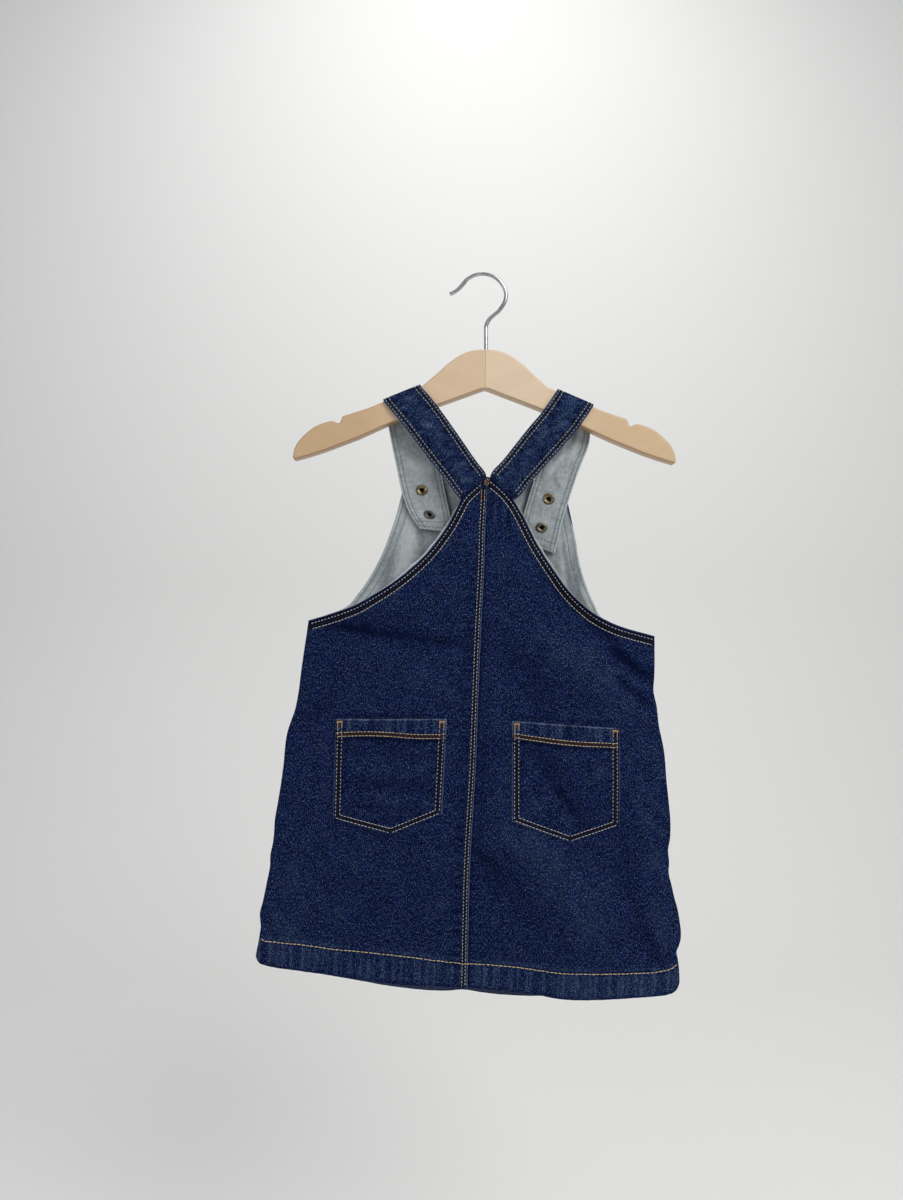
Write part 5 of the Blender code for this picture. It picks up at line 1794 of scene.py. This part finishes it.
def metal_material(name, bright, dull, roughness, fine):
    """Metal with faint drawn or tumbled marks of a fine size, a little tarnish, and painted shade
    in a ring's middle.
    """
    shade = Shader(name)
    place = shade.add("TexCoord").outputs["Object"]
    millimetres = shade.scaled(place, (1 / MM, 1 / MM, 1 / MM))
    tarnish = shade.noise(millimetres, (2.6, 2.6, 2.6), 4, 0.6)
    marks = shade.noise(millimetres, fine, 2)
    base = shade.mix(shade.span(tarnish, 0.35, 0.7), bright, dull)
    tarnish_and_shade = shade.marks("tarnish_and_shade")
    # grey where a ring is tarnished, and near black painted shade in its middle opening
    base = shade.layers(
        base, ((0.10, 0.105, 0.10), tarnish_and_shade, 0.0, 0.8), ((0.003, 0.003, 0.004), tarnish_and_shade, 0.9, 1.0)
    )
    return shade.finish(
        Base_Color=base,
        Metallic=1.0,
        Roughness=shade.span(marks, 0.3, 0.7, roughness, roughness + 0.16),
        Normal=shade.bump(marks, 0.00003, 0.5),
    )


def plain_material(name, colour):
    """The stage's matt paper, with a very faint mottle."""
    shade = Shader(name)
    place = shade.add("TexCoord").outputs["Object"]
    mottle = shade.noise(place, (1 / 3, 1 / 3, 1 / 3), 2)
    low = tuple(0.985 * c for c in colour)
    base = shade.mix(mottle, low, colour)
    return shade.finish(Base_Color=base, Roughness=0.9, Specular_IOR_Level=0.1)


# ------------------------------------------------------------- camera, stage and lights

CAMERA_PLACE = (-0.02418, -0.676, -0.25295)
CAMERA_LENS, SENSOR = 26.0, 36.0
FLOOR_BELOW = 0.34  # metres from the hem down to the floor
SWEEP_BEHIND, SWEEP_RADIUS, SWEEP_TOP = 1.5, 0.7, 2.2
SWEEP_FRONT, SWEEP_HALF = -1.8, 2.6
DRESS_MIDDLE = (0.0, 0.0, -0.3)
# Name, place, aim, size, watts and colour of each light
LIGHTS = (
    ("key", (0.95, -1.15, 0.85), DRESS_MIDDLE, 1.3, 26, (1.0, 0.985, 0.96)),
    ("fill", (-1.3, -1.1, 0.0), DRESS_MIDDLE, 1.2, 5, (0.95, 0.97, 1.0)),
    ("backdrop_wash", (0.0, 0.5, 1.3), (0.0, 1.4, -0.4), 1.6, 12, (1.0, 1.0, 1.0)),
)
SKY, SKY_STRENGTH = (0.80, 0.82, 0.85, 1.0), 0.40


def add_camera():
    data = bpy.data.cameras.new("camera")
    data.lens, data.sensor_width = CAMERA_LENS, SENSOR
    camera = bpy.data.objects.new("camera", data)
    camera.location = CAMERA_PLACE
    camera.rotation_euler = (math.pi / 2, 0, 0)
    bpy.context.scene.collection.objects.link(camera)
    bpy.context.scene.camera = camera


def add_stage(lowest):
    """A pale floor that sweeps up behind into a backdrop."""
    floor = lowest - FLOOR_BELOW
    line = [(SWEEP_FRONT, floor), (SWEEP_BEHIND - SWEEP_RADIUS, floor)]
    for turn in np.linspace(0, math.pi / 2, 24)[1:]:
        y = SWEEP_BEHIND - SWEEP_RADIUS + SWEEP_RADIUS * math.sin(turn)
        line.append((y, floor + SWEEP_RADIUS * (1 - math.cos(turn))))
    line.append((SWEEP_BEHIND, floor + SWEEP_TOP))
    points = [(x / MM, y / MM, z / MM) for y, z in line for x in (-SWEEP_HALF, SWEEP_HALF)]
    paper = plain_material("stage_paper", (0.80, 0.80, 0.785))
    stage = mesh_object("floor_sweep", points, quads(grid(len(line), 2)).tolist(), paper)
    bpy.context.scene.collection.objects.link(stage)


def add_lights():
    for name, place, aim, size, watts, colour in LIGHTS:
        data = bpy.data.lights.new(name, "AREA")
        data.shape, data.size, data.energy, data.color = "DISK", size, watts, colour
        light = bpy.data.objects.new(name, data)
        light.location = place
        x, y, z = np.array(aim) - np.array(place)
        tilt, turn = math.atan2(math.hypot(x, y), -z), math.atan2(y, x) - math.pi / 2
        light.rotation_euler = (tilt, 0, turn)
        bpy.context.scene.collection.objects.link(light)
    world = bpy.data.worlds.new("studio")
    world.use_nodes = True
    background = world.node_tree.nodes["Background"].inputs
    background["Color"].default_value, background["Strength"].default_value = SKY, SKY_STRENGTH
    bpy.context.scene.world = world


# -------------------------------------------------------------------------------- main

# The pale and the deep tone of each thread, and of the wood of each half of the hanger
THREADS = {
    "golden": ((0.62, 0.49, 0.29), (0.38, 0.27, 0.13)),
    "orange": ((0.52, 0.31, 0.13), (0.30, 0.16, 0.06)),
    "cream": ((0.62, 0.61, 0.56), (0.38, 0.36, 0.31)),
    "olive": ((0.44, 0.45, 0.38), (0.25, 0.25, 0.19)),
    "grey": ((0.30, 0.33, 0.33), (0.13, 0.15, 0.16)),
}
ARM_TURN = math.radians(22)  # the slope of the hanger's arms, which its grain follows
WOODS = {
    -1: ((0.66, 0.50, 0.345), (0.60, 0.435, 0.285)),
    1: ((0.71, 0.56, 0.405), (0.65, 0.495, 0.34)),
}


def main():
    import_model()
    solid_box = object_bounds()
    add_camera()
    add_stage(float(solid_box[0][2]))
    add_lights()
    bpy.context.scene.view_settings.view_transform = "Standard"

    denim = denim_material("indigo_denim", (0.0003, 0.0020, 0.0205), (0.0016, 0.0072, 0.050),
                           (0.036, 0.060, 0.098), 0.9, 0.85)
    strap_denim = denim_material("strap_denim", (0.0008, 0.0036, 0.024), (0.0048, 0.0130, 0.056),
                                 (0.042, 0.070, 0.125), 1.0, 0.6)
    grey = lining_material()
    threads = {word: thread_material(f"{word}_thread", *pair) for word, pair in THREADS.items()}
    wood = {
        sign: wood_material(f"beech_{WORD[sign]}", sign * ARM_TURN, *pair)
        for sign, pair in WOODS.items()
    }
    steel = metal_material(
        "polished_steel", (0.55, 0.55, 0.56), (0.36, 0.36, 0.37), 0.17, (1 / 0.3, 1 / 8, 1 / 8)
    )
    brass = metal_material(
        "antique_brass", (0.30, 0.235, 0.12), (0.09, 0.07, 0.04), 0.3, (0.5, 0.5, 0.5)
    )

    for sign in (-1, 1):
        make_back(sign, denim)
        make_board(sign, wood[sign])
    make_front(denim)
    make_fell(denim)
    for name, pocket in POCKETS.items():
        make_pocket(name, pocket, denim)
        sew_pocket(name, pocket, threads)
    make_bib_facing(grey)
    make_back_facing(grey)
    for side, strap in STRAPS.items():
        path = StrapPath(strap)
        strap_layer(side, path, "denim", strap_denim)
        strap_layer(side, path, "lining", grey)
        sew_strap(side, path, threads)
    sew_armholes(threads["cream"])
    sew_centre(threads["cream"], threads["orange"])
    sew_hems(threads["golden"])
    sew_bib(threads)
    make_snaps(brass)
    make_hook(steel)


main()
